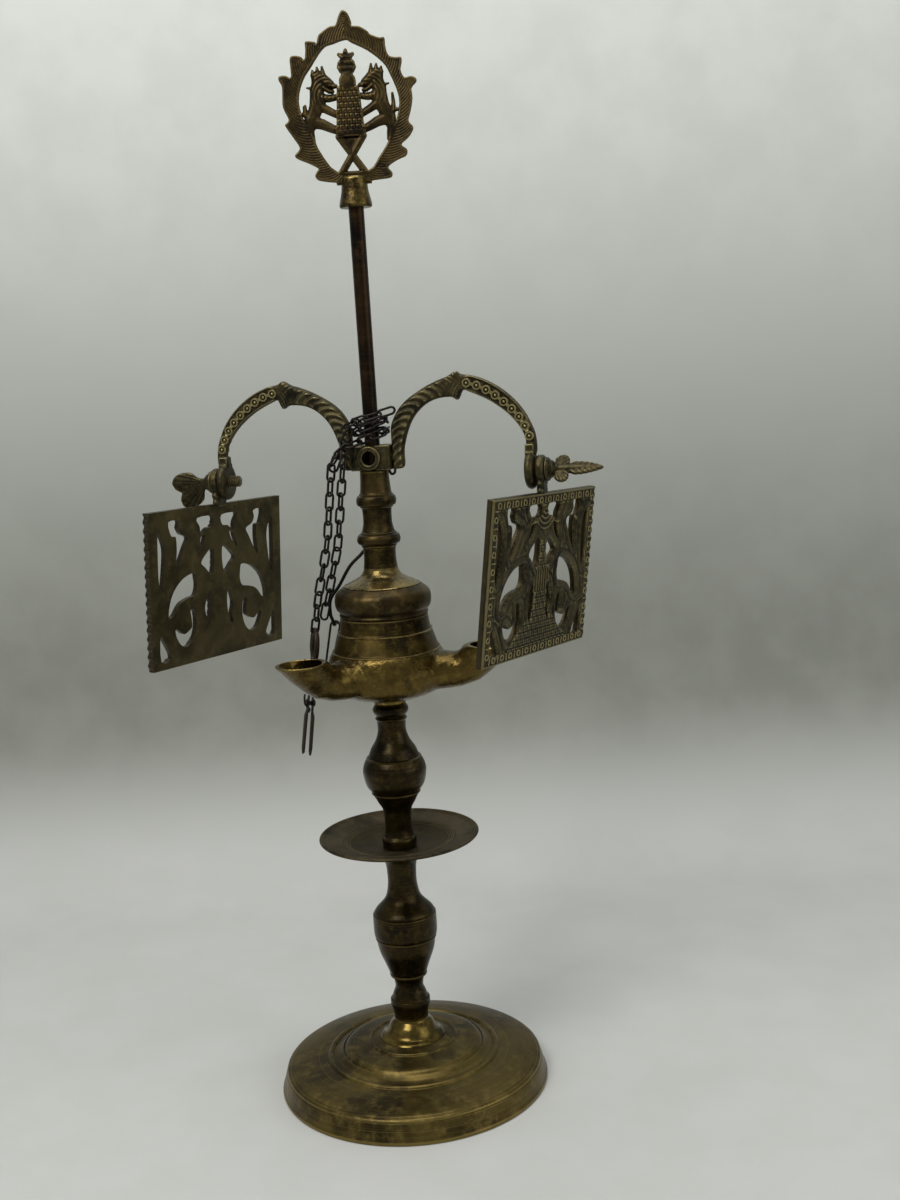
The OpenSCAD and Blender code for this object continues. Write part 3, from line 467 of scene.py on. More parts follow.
class Surface:
    """A material's node tree, with a short call for each node that the finishes use."""

    def __init__(self, name: str) -> None:
        """Starts an empty material with a Principled shader."""
        self.material = bpy.data.materials.new(name)
        self.material.use_nodes = True
        self.nodes = self.material.node_tree.nodes
        self.links = self.material.node_tree.links
        self.nodes.clear()
        self.shader = self.nodes.new("ShaderNodeBsdfPrincipled")
        out = self.nodes.new("ShaderNodeOutputMaterial")
        self.links.new(self.shader.outputs[0], out.inputs[0])

    def fed(self, kind: str, feeds: dict, **settings) -> bpy.types.Node:
        """Adds a node.

        Args:
            kind: The node's type.
            feeds: What goes into each input: a socket or a value.
            **settings: The node's own properties.

        Returns:
            The node.
        """
        node = self.nodes.new(kind)
        for key, value in settings.items():
            setattr(node, key, value)
        for key, value in feeds.items():
            if isinstance(value, bpy.types.NodeSocket):
                self.links.new(value, node.inputs[key])
            else:
                node.inputs[key].default_value = value
        return node

    def math(self, operation: str, a, b=0.0, clamp: bool = False):
        """Returns the result of a Math node."""
        return self.fed("ShaderNodeMath", {0: a, 1: b}, operation=operation, use_clamp=clamp).outputs[0]

    def noise(self, at, scale: float, detail: float = 4, rough: float = 0.55, distortion: float = 0):
        """Returns the strength of a noise at that scale per millimetre."""
        feeds = {"Vector": at, "Scale": scale, "Detail": detail, "Roughness": rough, "Distortion": distortion}
        return self.fed("ShaderNodeTexNoise", feeds).outputs["Fac"]

    def step(self, value, low: float, high: float, to: float = 1.0):
        """Returns a smooth step of a value from 0 at low to `to` at high."""
        feeds = {"Value": value, "From Min": low, "From Max": high, "To Min": 0.0, "To Max": to}
        return self.fed("ShaderNodeMapRange", feeds, interpolation_type="SMOOTHSTEP").outputs[0]

    def mix(self, share, a, b):
        """Returns a mix of two colours."""
        node = self.fed("ShaderNodeMix", {0: share}, data_type="RGBA")
        for socket, value in ((node.inputs[6], a), (node.inputs[7], b)):
            if isinstance(value, bpy.types.NodeSocket):
                self.links.new(value, socket)
            else:
                socket.default_value = value
        return node.outputs[2]

    def place(self, offset: float):
        """Returns object coordinates in millimetres, moved by an offset."""
        source = self.nodes.new("ShaderNodeTexCoord").outputs["Object"]
        feeds = {"Vector": source, "Scale": (1 / MM,) * 3, "Location": (offset, 2 * offset, 3 * offset)}
        return self.fed("ShaderNodeMapping", feeds).outputs[0]

    def attribute(self, name: str):
        """Returns a value that the mesh holds."""
        return self.fed("ShaderNodeAttribute", {}, attribute_name=name).outputs["Fac"]

    def radius_and_height(self):
        """Returns coordinates that only change across a turned piece and along it."""
        source = self.nodes.new("ShaderNodeTexCoord").outputs["Object"]
        parts = self.fed("ShaderNodeSeparateXYZ", {0: source}).outputs
        square = self.math("ADD", self.math("MULTIPLY", parts[0], parts[0]), self.math("MULTIPLY", parts[1], parts[1]))
        r = self.math("SQRT", square)
        both = self.fed("ShaderNodeCombineXYZ", {0: r, 2: parts[2]}).outputs[0]
        return self.fed("ShaderNodeMapping", {"Vector": both, "Scale": (1 / MM,) * 3}).outputs[0]


@dataclass(frozen=True)
class Finish:
    """A metal finish: patina in patches, wear on what stands out and dirt in what lies deep."""

    name: str
    slot: str
    deep: str
    mid: str
    pale: str
    bright: str
    patch: float = 22.0
    speck: float = 0.25
    lines: float = 0.0
    hammer: float = 0.0
    grain: float = 0.5
    rough: float = 0.4
    metal: float = 0.85
    wear: float = 1.0
    seed: float = 0.0

    def material(self) -> bpy.types.Material:
        """Returns the finish's material, made once."""
        found = bpy.data.materials.get(self.name)
        if found is not None:
            return found
        s = Surface(self.name)
        at = s.place(self.seed)
        patches = s.noise(at, 1 / self.patch, 5, 0.6, 0.4)
        cloud = s.noise(at, 4.5 / self.patch, 6, 0.65)
        grit = s.noise(at, 1.1, 4, 0.7)
        bulge = s.attribute("bulge")
        colour = s.mix(s.step(patches, 0.36, 0.62), linear(self.deep), linear(self.mid))
        colour = s.mix(s.step(cloud, 0.46, 0.72, 0.75), colour, linear(self.pale))
        colour = s.mix(s.step(grit, 0.62, 0.78, self.speck), colour, linear(self.bright))
        rough = s.math("MULTIPLY_ADD", cloud, 0.3)
        rough.node.inputs[2].default_value = self.rough - 0.15
        height = s.math("MULTIPLY", grit, self.grain)
        if self.lines:
            rings = s.noise(s.radius_and_height(), 1.6, 3, 0.75)
            colour = s.mix(s.step(rings, 0.54, 0.64, self.lines * 0.5), colour, linear(self.bright))
            colour = s.mix(s.step(s.math("SUBTRACT", 1.0, rings), 0.56, 0.66, self.lines * 0.6), colour, linear(self.deep))
            height = s.math("ADD", height, s.math("MULTIPLY", rings, self.lines * 0.7))
        if self.hammer:
            dents = s.noise(at, 0.42, 1, 0.4)
            height = s.math("ADD", height, s.math("MULTIPLY", dents, self.hammer * 3))
        ridge = s.step(s.math("ADD", bulge, s.math("MULTIPLY_ADD", grit, 0.5)), 0.3, 0.62, self.wear)
        ridge.node.inputs["Value"].links[0].from_node.inputs[1].links[0].from_node.inputs[2].default_value = -0.25
        hollow = s.step(s.math("MULTIPLY", bulge, -1.0), 0.05, 0.55, 0.8 * min(self.wear, 1.0))
        colour = s.mix(hollow, colour, linear(self.deep))
        colour = s.mix(ridge, colour, linear(self.bright))
        rough = s.math("SUBTRACT", rough, s.math("MULTIPLY", ridge, 0.12))
        rough = s.math("ADD", rough, s.math("MULTIPLY", hollow, 0.2), clamp=True)
        bump = s.fed("ShaderNodeBump", {"Height": height, "Strength": 0.35, "Distance": 0.25 * MM})
        s.links.new(colour, s.shader.inputs["Base Color"])
        s.links.new(rough, s.shader.inputs["Roughness"])
        s.links.new(bump.outputs[0], s.shader.inputs["Normal"])
        s.shader.inputs["Metallic"].default_value = self.metal
        return s.material


FOOT = Finish("foot_patina", "foot_brass", "#2f2610", "#5a4c25", "#776639", "#a18c4e", patch=34, lines=0.4,
              speck=0.4, rough=0.36, wear=0.4)
BOSS = Finish("polished_boss", "foot_brass", "#2d230c", "#5c4d22", "#7b6830", "#b39a5a", patch=20, lines=0.2,
              rough=0.2, wear=0.3, seed=3)
STEM = Finish("stem_patina", "stem_brass", "#130e04", "#2f250d", "#473918", "#7d6a36", patch=18, lines=0.25,
              speck=0.5, rough=0.32, wear=0.24, seed=7)
TRAY = Finish("tray_patina", "tray_brass", "#2a2317", "#4d432e", "#5f553e", "#7b6e4c", patch=26, lines=0.35,
              speck=0.2, rough=0.56, wear=0.5, seed=11)
BOWL = Finish("bowl_patina", "reservoir_brass", "#3a2e12", "#56461d", "#6e5c2c", "#c9b06a", patch=26, speck=0.8,
              hammer=1.2, rough=0.29, wear=0.25, seed=17)
BAND = Finish("band_patina", "reservoir_brass", "#261e0b", "#4a3c19", "#655427", "#9c8650", patch=20, lines=0.15,
              rough=0.34, wear=0.6, seed=19)
CAP = Finish("cap_patina", "reservoir_brass", "#261e0d", "#47391d", "#5b4e2c", "#96824f", patch=20, lines=0.12,
             rough=0.4, wear=0.5, seed=23)
# Painted highlight: the flare is the cap's brass painted brighter, for the light that falls on it.
LIT_FLARE = Finish("cap_flare", "reservoir_brass", "#41351a", "#75643a", "#978553", "#cbb87c", patch=16, lines=0.12,
               rough=0.25, wear=0.4, seed=29)
NECK = Finish("neck_patina", "stem_brass", "#171207", "#3d3116", "#534622", "#7d6c3c", patch=16, lines=0.15,
              rough=0.38, wear=0.4, seed=31)
ROD = Finish("rod_patina", "rod_iron", "#0c0804", "#27190b", "#3a2814", "#5d4d27", patch=30, lines=0.2,
             speck=0.2, rough=0.36, seed=37)
CAST = Finish("cast_patina", "cast_brass", "#171307", "#3d361f", "#574e2e", "#8a8056", patch=14, speck=0.35,
              grain=0.9, rough=0.46, metal=0.75, wear=0.6, seed=41)
BACK = Finish("screen_back", "cast_brass", "#352e19", "#534a2c", "#645939", "#857852", patch=30, speck=0.25,
              grain=0.6, rough=0.44, metal=0.75, wear=0.0, seed=43)
# Painted shade: a darker copy of the cast brass, put on the screens' walls where they fall in shade; the arms' flowers
# take it too.
SHADE_DARKENED_CAST = Finish("cast_brass_painted_shade", "cast_brass", "#120e07", "#261f11", "#372e1b", "#5b5037", patch=18, speck=0.3,
              grain=0.8, rough=0.46, metal=0.75, wear=0.3, seed=45)
BEAD = Finish("beading_patina", "cast_brass", "#1f190b", "#4a4228", "#625838", "#8f845c", patch=12, speck=0.35,
              grain=0.9, rough=0.42, metal=0.75, seed=46)
LEAF = Finish("leaf_patina", "cast_brass", "#19160c", "#3e3722", "#534a2f", "#716746", patch=9, speck=0.4,
              grain=0.8, rough=0.44, wear=0.6, seed=47)
WREATH = Finish("finial_patina", "finial_brass", "#19130a", "#3a2f17", "#4d3f22", "#6e5c36", patch=14, speck=0.4,
                grain=0.9, rough=0.42, wear=0.6, seed=53)
SOCKET = Finish("socket_patina", "finial_brass", "#2a200b", "#56471f", "#706034", "#a5915a", patch=10, hammer=1.0,
                rough=0.33, wear=0.4, seed=59)
IRON = Finish("black_iron", "dark_iron", "#050404", "#0e0c0a", "#181411", "#2c2621", patch=8, grain=1.0,
              rough=0.42, metal=0.7, wear=0.6, seed=61)
RUST = Finish("rusty_iron", "dark_iron", "#090705", "#16110b", "#231a11", "#3b2f1f", patch=7, grain=1.4,
              rough=0.5, metal=0.6, wear=0.5, seed=67)
FLANGE = Finish("bright_flange", "bright_brass", "#3f3214", "#7d6932", "#a18a50", "#d6be7d", patch=9, lines=0.3,
                rough=0.22, seed=71)


# Pieces


def mark_wear(mesh: bpy.types.Mesh, reach: float = 1.0, gain: float = 4.5) -> None:
    """Writes on each point how far it stands out from the skin round it.

    Args:
        mesh: The mesh, in metres.
        reach: How far round a point the skin is averaged, in millimetres.
        gain: The value of a point that stands out by a millimetre.
    """
    count = len(mesh.vertices)
    co = np.zeros(count * 3)
    mesh.vertices.foreach_get("co", co)
    co = co.reshape(-1, 3) / MM
    ends = np.zeros(len(mesh.edges) * 2, int)
    mesh.edges.foreach_get("vertices", ends)
    a, b = ends.reshape(-1, 2).T
    length = np.linalg.norm(co[a] - co[b], axis=1)
    weight = 1 / np.maximum(length, 0.05)
    rounds = int(np.clip((reach / max(np.median(length), 0.05)) ** 2, 2, 16))
    total = np.bincount(a, weight, count) + np.bincount(b, weight, count)
    total = np.maximum(total, 1e-9)
    smooth = co.copy()
    for _ in range(rounds):
        nearby = np.stack([
            np.bincount(a, weight * smooth[b, k], count) + np.bincount(b, weight * smooth[a, k], count)
            for k in range(3)
        ], 1) / total[:, None]
        smooth += 0.6 * (nearby - smooth)
    normal = np.zeros(count * 3)
    mesh.vertex_normals.foreach_get("vector", normal)
    bulge = ((co - smooth) * normal.reshape(-1, 3)).sum(1) * gain
    mesh.attributes.new("bulge", "FLOAT", "POINT").data.foreach_set("value", np.clip(bulge, -1, 1).astype(np.float32))


def dress(obj: bpy.types.Object, finish: Finish, body: str, stands_for: Sequence[str], crease: float) -> None:
    """Gives a mesh object its finish, its shading, its body and the nodes that it stands for."""
    mesh = obj.data
    if mesh.materials:
        mesh.materials[0] = finish.material()
    else:
        mesh.materials.append(finish.material())
    mesh.polygons.foreach_set("use_smooth", [True] * len(mesh.polygons))
    mesh.set_sharp_from_angle(angle=math.radians(crease))
    mark_wear(mesh)
    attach(obj, body)
    if stands_for:
        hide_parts(*stands_for)
    log.info("%s: %d faces on %s", obj.name, len(mesh.polygons), body)


def piece(name: str, shape: Shape, finish: Finish, body: str, *stands_for: str, crease: float = 40) -> bpy.types.Object:
    """Makes a finished piece from a shape.

    Args:
        name: The piece's name.
        shape: Its skin in millimetres.
        finish: Its finish.
        body: The body that it rides on.
        *stands_for: The CAD nodes that it replaces.
        crease: Angle between faces from which an edge is sharp, in degrees.

    Returns:
        The object.
    """
    mesh = bpy.data.meshes.new(name)
    mesh.from_pydata((shape.points * MM).tolist(), [], shape.faces)
    mesh.validate()
    obj = bpy.data.objects.new(name, mesh)
    bpy.context.scene.collection.objects.link(obj)
    dress(obj, finish, body, stands_for, crease)
    return obj


def keep_node(node: str, finish: Finish) -> None:
    """Gives a CAD node that keeps its own mesh a finish."""
    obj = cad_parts[node]
    obj.data.materials.clear()
    obj.data.materials.append(finish.material())
    log.info("%s: kept, in %s", node, finish.name)


# Geometry Nodes


class Tree:
    """A Geometry Nodes tree with named sizes, in short calls."""

    def __init__(self, name: str) -> None:
        """Starts a tree with geometry in and out."""
        self.group = bpy.data.node_groups.new(name, "GeometryNodeTree")
        face = self.group.interface
        face.new_socket("Geometry", in_out="INPUT", socket_type="NodeSocketGeometry")
        face.new_socket("Geometry", in_out="OUTPUT", socket_type="NodeSocketGeometry")
        self.source = self.group.nodes.new("NodeGroupInput")
        self.sink = self.group.nodes.new("NodeGroupOutput")

    def size(self, name: str):
        """Adds a named size and returns its socket."""
        self.group.interface.new_socket(name, in_out="INPUT", socket_type="NodeSocketFloat")
        return self.source.outputs[name]

    def add(self, kind: str, feeds: dict, **settings) -> bpy.types.Node:
        """Adds a node, as Surface.fed does."""
        node = self.group.nodes.new(kind)
        for key, value in settings.items():
            setattr(node, key, value)
        for key, value in feeds.items():
            if isinstance(value, bpy.types.NodeSocket):
                self.group.links.new(value, node.inputs[key])
            else:
                node.inputs[key].default_value = value
        return node

    def tube(self, path, radius, sides: int, caps: bool = False):
        """Returns a tube of that radius along a path."""
        ring = self.add("GeometryNodeCurvePrimitiveCircle", {"Resolution": sides, "Radius": radius}).outputs[0]
        feeds = {"Curve": path, "Profile Curve": ring, "Fill Caps": caps}
        return self.add("GeometryNodeCurveToMesh", feeds).outputs[0]

    def close(self, geometry, material: bpy.types.Material) -> None:
        """Ends the tree: real geometry in its material."""
        real = self.add("GeometryNodeRealizeInstances", {0: geometry}).outputs[0]
        dressed = self.add("GeometryNodeSetMaterial", {"Geometry": real, "Material": material}).outputs[0]
        self.group.links.new(dressed, self.sink.inputs[0])

    def grown(self, name: str, points: Array, edges: list, sizes: dict, turns: Array | None = None) -> bpy.types.Object:
        """Runs the tree on a line of points and keeps the result as a plain mesh.

        Args:
            name: The piece's name.
            points: The points, in millimetres.
            edges: Pairs of points that a path joins.
            sizes: Values of the named sizes, in millimetres.
            turns: Each point's own turn, as angles about X, Y and Z.

        Returns:
            The object, with no modifier left.
        """
        mesh = bpy.data.meshes.new(name)
        mesh.from_pydata((np.array(points) * MM).tolist(), edges, [])
        if turns is not None:
            mesh.attributes.new("turn", "FLOAT_VECTOR", "POINT").data.foreach_set("vector", np.ravel(turns))
        obj = bpy.data.objects.new(name, mesh)
        bpy.context.scene.collection.objects.link(obj)
        modifier = obj.modifiers.new("Grow", "NODES")
        modifier.node_group = self.group
        for item in self.group.interface.items_tree:
            if item.in_out == "INPUT" and item.name in sizes:
                modifier[item.identifier] = sizes[item.name] * MM
        bpy.context.view_layer.update()
        grown = bpy.data.meshes.new_from_object(obj.evaluated_get(bpy.context.evaluated_depsgraph_get()))
        obj.modifiers.remove(modifier)
        obj.data = grown
        return obj


def link_tree(material: bpy.types.Material) -> Tree:
    """Returns the tree that sets a chain link on each point, turned as the point says."""
    t = Tree("chain_links")
    length, width, wire = t.size("Length"), t.size("Width"), t.size("Wire")
    half = t.add("ShaderNodeMath", {0: wire, 1: 0.5}, operation="MULTIPLY").outputs[0]
    inner_l = t.add("ShaderNodeMath", {0: length, 1: wire}, operation="SUBTRACT").outputs[0]
    inner_w = t.add("ShaderNodeMath", {0: width, 1: wire}, operation="SUBTRACT").outputs[0]
    bend = t.add("ShaderNodeMath", {0: inner_w, 1: 0.499}, operation="MULTIPLY").outputs[0]
    oblong = t.add("GeometryNodeCurvePrimitiveQuadrilateral", {"Width": inner_l, "Height": inner_w}).outputs[0]
    feeds = {"Curve": oblong, "Count": 6, "Radius": bend, "Limit Radius": True}
    path = t.add("GeometryNodeFilletCurve", feeds, mode="POLY").outputs[0]
    link = t.tube(path, half, 8)
    euler = t.add("GeometryNodeInputNamedAttribute", {"Name": "turn"}, data_type="FLOAT_VECTOR").outputs[0]
    facing = t.add("FunctionNodeEulerToRotation", {0: euler}).outputs[0]
    feeds = {"Points": t.source.outputs[0], "Instance": link, "Rotation": facing}
    t.close(t.add("GeometryNodeInstanceOnPoints", feeds).outputs[0], material)
    return t


def beading_tree(material: bpy.types.Material) -> Tree:
    """Returns the tree that sets rings and short bars in turn along paths."""
    t = Tree("rings_and_bars")
    pitch, ring_r, wire, bar_l, dot = (t.size(n) for n in ("Pitch", "Ring", "Wire", "Bar", "Dot"))
    path = t.add("GeometryNodeMeshToCurve", {0: t.source.outputs[0]}).outputs[0]
    spots = t.add("GeometryNodeCurveToPoints", {"Curve": path, "Length": pitch}, mode="LENGTH")
    facing = t.add("FunctionNodeAlignRotationToVector", {"Vector": spots.outputs["Tangent"]}, axis="X").outputs[0]
    index = t.add("GeometryNodeInputIndex", {}).outputs[0]
    odd = t.add("ShaderNodeMath", {0: index, 1: 2.0}, operation="MODULO").outputs[0]
    even = t.add("ShaderNodeMath", {0: 1.0, 1: odd}, operation="SUBTRACT").outputs[0]
    circle = t.add("GeometryNodeCurvePrimitiveCircle", {"Resolution": 12, "Radius": ring_r}).outputs[0]
    ring = t.tube(circle, wire, 6)
    knob = t.add("GeometryNodeMeshIcoSphere", {"Radius": dot, "Subdivisions": 2}).outputs[0]
    both = t.add("GeometryNodeJoinGeometry", {}).inputs[0]
    t.group.links.new(ring, both)
    t.group.links.new(knob, both)
    half = t.add("ShaderNodeMath", {0: bar_l, 1: 0.5}, operation="MULTIPLY").outputs[0]
    minus = t.add("ShaderNodeMath", {0: half, 1: -1.0}, operation="MULTIPLY").outputs[0]
    start = t.add("ShaderNodeCombineXYZ", {1: minus}).outputs[0]
    end = t.add("ShaderNodeCombineXYZ", {1: half}).outputs[0]
    line = t.add("GeometryNodeCurvePrimitiveLine", {"Start": start, "End": end}).outputs[0]
    bar = t.tube(line, wire, 8, caps=True)
    rings = t.add("GeometryNodeInstanceOnPoints", {
        "Points": spots.outputs[0], "Selection": even, "Instance": both.node.outputs[0], "Rotation": facing}).outputs[0]
    bars = t.add("GeometryNodeInstanceOnPoints", {
        "Points": spots.outputs[0], "Selection": odd, "Instance": bar, "Rotation": facing}).outputs[0]
    all_ = t.add("GeometryNodeJoinGeometry", {}).inputs[0]
    t.group.links.new(rings, all_)
    t.group.links.new(bars, all_)
    t.close(all_.node.outputs[0], material)
    return t


def wire_tree(material: bpy.types.Material) -> Tree:
    """Returns the tree that draws a wire along a path."""
    t = Tree("bent_wire")
    radius = t.size("Radius")
    path = t.add("GeometryNodeMeshToCurve", {0: t.source.outputs[0]}).outputs[0]
    t.close(t.tube(path, radius, 12, caps=True), material)
    return t


# The lamp


@dataclass
class Stack:
    """Heights of the lamp's pieces, from the table up, as the frame has them."""

    foot_top: float = field(default_factory=lambda: span("foot")[1].z)
    stem_low: float = field(default_factory=lambda: span("lower_stem")[0].z)
    tray_z: float = field(default_factory=lambda: span("lower_stem")[1].z)
    upper_z: float = field(default_factory=lambda: span("lower_stem")[1].z + 1.2)
    stud_low: float = field(default_factory=lambda: span("upper_stem")[0].z)
    seat_z: float = field(default_factory=lambda: span("upper_stem")[1].z)
    rod_low: float = field(default_factory=lambda: span("centre_rod")[0].z)
    rod_top: float = field(default_factory=lambda: span("centre_rod")[1].z)
    bowl_z: float = field(default_factory=lambda: span("reservoir")[0].z)
    seam_z: float = field(default_factory=lambda: span("reservoir")[1].z)
    cap_z: float = field(default_factory=lambda: span("reservoir_cap")[0].z + 3)
    neck_z: float = field(default_factory=lambda: span("reservoir_cap")[1].z)
    neck_top: float = field(default_factory=lambda: span("cap_neck")[1].z)
    block_z: float = field(default_factory=lambda: span("arm_collar")[0].z)
    block_top: float = field(default_factory=lambda: span("arm_collar")[1].z)
    finial_z: float = field(default_factory=lambda: span("finial")[0].z)


def raised(profile: Sequence[Point], z: float) -> list[Point]:
    """Returns a profile lifted by a height."""
    return [(r, h + z) for r, h in profile]


@dataclass
class Stand:
    """The turned column: foot, stems, tray and rod."""

    at: Stack
    foot_r: float = 75.0
    skirt_h: float = 12.4
    flare: float = 3.8
    mid_r: float = 47.4
    inner_r: float = 24.2
    boss_r: float = 15.5
    boss_top_r: float = 9.5
    stud_r: float = 4.0
    socket_r: float = 4.05
    socket_depth: float = 24.0
    tray_r: float = 44.1
    rod_r: float = 4.0

    def build(self) -> None:
        """Makes every piece of the stand."""
        self.foot()
        self.lower_stem()
        self.tray()
        self.upper_stem()
        rod = [(0, self.at.rod_low), (self.rod_r - 0.4, self.at.rod_low), (self.rod_r, self.at.rod_low + 0.4)]
        rod += [(self.rod_r, z) for z in np.linspace(self.at.seat_z, self.at.rod_top - 0.4, 90)]
        rod += [(self.rod_r - 0.4, self.at.rod_top), (0, self.at.rod_top)]
        piece("rod", lathe(rod, 64), ROD, "stand", "centre_rod")
        keep_node("foot_washer", IRON)
        keep_node("foot_nut", IRON)

    def foot(self) -> None:
        """Makes the foot with its rings, and its bright boss as its own skin."""
        s, m, i, b = self.skirt_h, self.mid_r, self.inner_r, self.boss_r
        r = self.foot_r - self.flare
        line = [(self.foot_r - 0.9, 0), (self.foot_r - 0.25, 0.35), (self.foot_r, 1.0), (self.foot_r - 0.05, 1.9)]
        line += curve([(self.foot_r - 0.6, 2.5), (r + 1.7, s - 4), (r + 1.0, s - 1.7)], 12)
        line += [(r + 0.6, s - 1.2), (r + 0.75, s - 0.7), (r + 0.5, s - 0.1), (r + 0.1, s + 0.35)]
        line += curve([(r - 0.5, s + 0.8), (r - 1.2, s + 1.0), (r - 2.6, s + 1.9), ((r + m) / 2, s + 4),
                       (m + 1.3, s + 5.2)], 12)
        line += curve([(m + 0.9, s + 5.5), (m + 0.6, s + 6.2), (m - 0.6, s + 6.9), (m - 1.8, s + 6.7),
                       (m - 2.3, s + 6.1)], 6)
        line += curve([(m - 2.8, s + 6.2), (m - 5, s + 6.9), (m - 7.4, s + 8.5)], 10)
        line += [(m - 7.7, s + 8.7), (m - 8.0, s + 8.3)]
        line += curve([(m - 8.4, s + 8.5), ((m + i) / 2, s + 10.8), (i + 1, s + 12.2)], 12)
        line += curve([(i + 0.7, s + 12.4), (i + 0.3, s + 13.2), (i - 0.4, s + 13.6), (i - 1.2, s + 13.2)], 6)
        line += curve([(i - 1.7, s + 12.9), (b + 4.6, s + 13.6), (b + 3.0, s + 14.2)], 8)
        line += [(b + 2.7, s + 14.0)]
        boss = curve([(b + 2.7, s + 14.3), (b + 1.8, s + 15.2), (b - 0.8, s + 17.2),
                      ((b + self.boss_top_r) / 2 - 0.4, (s + 15.8 + self.at.foot_top) / 2 + 0.6),
                      (self.boss_top_r + 0.2, self.at.foot_top - 1.8), (self.boss_top_r, self.at.foot_top)], 10)
        wall, hub_r, hub_z = 3.0, 12.0, self.at.foot_top - 22
        under = [(self.socket_r, hub_z), (hub_r, hub_z), (hub_r, s + 13.4 - wall), (i, s + 12 - wall),
                 (m - 7.6, s + 7.4 - wall), (m, s + 5.2 - wall), (r - wall, s - wall), (self.foot_r - wall, 0)]
        body = line + [(b - 1.0, s + 13.8), (self.socket_r, s + 13.8)] + under
        piece("foot_body", lathe(body, 180), FOOT, "stand", "foot")
        top = [(self.socket_r, s + 13.8), (b - 1.0, s + 13.8)] + boss + [(self.socket_r, self.at.foot_top)]
        piece("foot_boss", lathe(top, 128), BOSS, "stand")

    def lower_stem(self) -> None:
        """Makes the urn-shaped lower stem with its stud and socket."""
        u, w, b, z = 17.7, 8.1, 11.1, self.at.foot_top
        line = [(9.3, 0), (9.5, 0.5), (9.5, 1.2)]
        line += curve([(9.7, 2.2), (b - 0.8, 5.0), (b, 7.8), (b - 0.1, 10)], 8)
        line += [(b - 0.5, 10.4), (b - 0.9, 10.5)]
        line += curve([(b - 1.1, 10.9), (w + 0.9, 14), (w - 0.3, 17.5), (w + 0.4, 22), (w + 1.4, 23.6)], 10)
        line += [(w + 2.2, 24.0), (w + 2.4, 24.6), (w + 2.3, 25.2), (w + 1.9, 25.5)]
        line += curve([(w + 2.3, 26), (u * 0.7, 31.4), (u * 0.86, 39), (u - 1.3, 45.4)], 12)
        line += [(u - 1.2, 45.9), (u - 0.7, 46.2), (u - 0.7, 46.8), (u - 1.1, 47.1)]
        line += curve([(u - 0.9, 47.4), (u - 0.2, 48.8), (u, 54), (u - 0.1, 60)], 10)
        line += [(u - 0.3, 60.5), (u - 0.9, 60.8)]
        line += curve([(u - 0.9, 61.4), (u - 2.2, 63.4), (w + 2, 69.6), (w + 0.1, 77), (w, 84), (w + 0.6, 89.6),
                       (w + 2.6, 93.4), (w + 5, 95.4)], 12)
        top = self.at.tray_z - z
        line += [(w + 5.5, 96.0), (w + 5.5, top - 0.4), (w + 5.1, top)]
        low = [(0, self.at.stem_low), (self.stud_r - 0.4, self.at.stem_low), (self.stud_r, self.at.stem_low + 0.4),
               (self.stud_r, z)]
        socket = [(self.socket_r, top + z), (self.socket_r, top + z - self.socket_depth),
                  (0, top + z - self.socket_depth)]
        piece("lower_stem_urn", lathe(low + raised(line, z) + socket), STEM, "stand", "lower_stem")

    def tray(self) -> None:
        """Makes the thin dished tray with its fine rings and rolled edge."""
        r, flat, rise, t = self.tray_r, 10.9, 7.4, 1.2

        def high(x: float) -> float:
            """Returns the tray's height at a radius."""
            return rise * (x - flat) / (r - flat)

        top = [(4.3, 0), (flat, 0)]
        for ring in (27.6, 29.0, 30.2):
            top += [(ring - 0.5, high(ring - 0.5)), (ring - 0.15, high(ring) + 0.3), (ring + 0.2, high(ring) + 0.28),
                    (ring + 0.5, high(ring + 0.5) - 0.05)]
        top += [(x, high(x)) for x in np.linspace(32, r - 3, 8)]
        top += curve([(r - 2.3, rise - 0.35), (r - 1.5, rise + 0.35), (r - 0.7, rise + 0.5), (r - 0.1, rise + 0.1),
                      (r - 0.1, rise - 0.6), (r - 0.8, rise - 1.3)], 6)
        under = [(r - 2.2, rise - 0.5 - t)] + [(x, high(x) - t) for x in np.linspace(r - 4, flat + 2, 12)]
        under += [(flat, -t), (4.3, -t)]
        profile = raised(under[::-1] + top[::-1], self.at.upper_z)
        piece("tray_dish", lathe(profile, 180), TRAY, "stand", "drip_tray")

    def upper_stem(self) -> None:
        """Makes the ball-shaped upper stem with its stud and socket."""
        u, w, c, z = 17.4, 7.4, 9.4, self.at.upper_z
        line = [(c - 0.7, 0), (c - 0.2, 0.3)]
        line += curve([(c, 0.8), (c + 0.1, 2.6), (c, 4.8), (c - 0.5, 5.9)], 6)
        line += [(c - 1.0, 6.2)]
        line += curve([(w + 0.6, 7.0), (w, 10), (w - 0.1, 14), (w + 0.5, 21.6), (w + 3, 26.4), (u - 4.9, 30.4)], 12)
        line += [(u - 4.3, 30.9), (u - 3.9, 31.4), (u - 4.0, 32.0), (u - 4.4, 32.3)]
        line += curve([(u - 3.9, 32.8), (u - 1.4, 36.4), (u, 43.2), (u - 0.7, 47.6), (u - 2.3, 50.9)], 12)
        line += [(u - 2.3, 51.3), (u - 2.9, 51.8), (u - 3.5, 51.9)]
        line += curve([(u - 3.6, 52.4), (u - 5.2, 56.4), (w + 2, 61), (w + 0.4, 66.2), (w + 0.5, 72)], 12)
        line += curve([(w + 0.9, 72.6), (w + 1.3, 73.2), (w + 0.8, 74.0), (w + 0.2, 74.5), (w + 0.6, 75.1)], 5)
        line += curve([(w + 1.4, 75.7), (w + 2.2, 77.0), (w + 2.4, 78.4), (w + 1.9, 79.8), (w + 1.3, 80.6)], 6)
        top = self.at.seat_z - z
        line += [(w + 1.2, top - 0.3), (w + 0.9, top)]
        low = [(0, self.at.stud_low), (self.stud_r - 0.4, self.at.stud_low), (self.stud_r, self.at.stud_low + 0.4),
               (self.stud_r, z)]
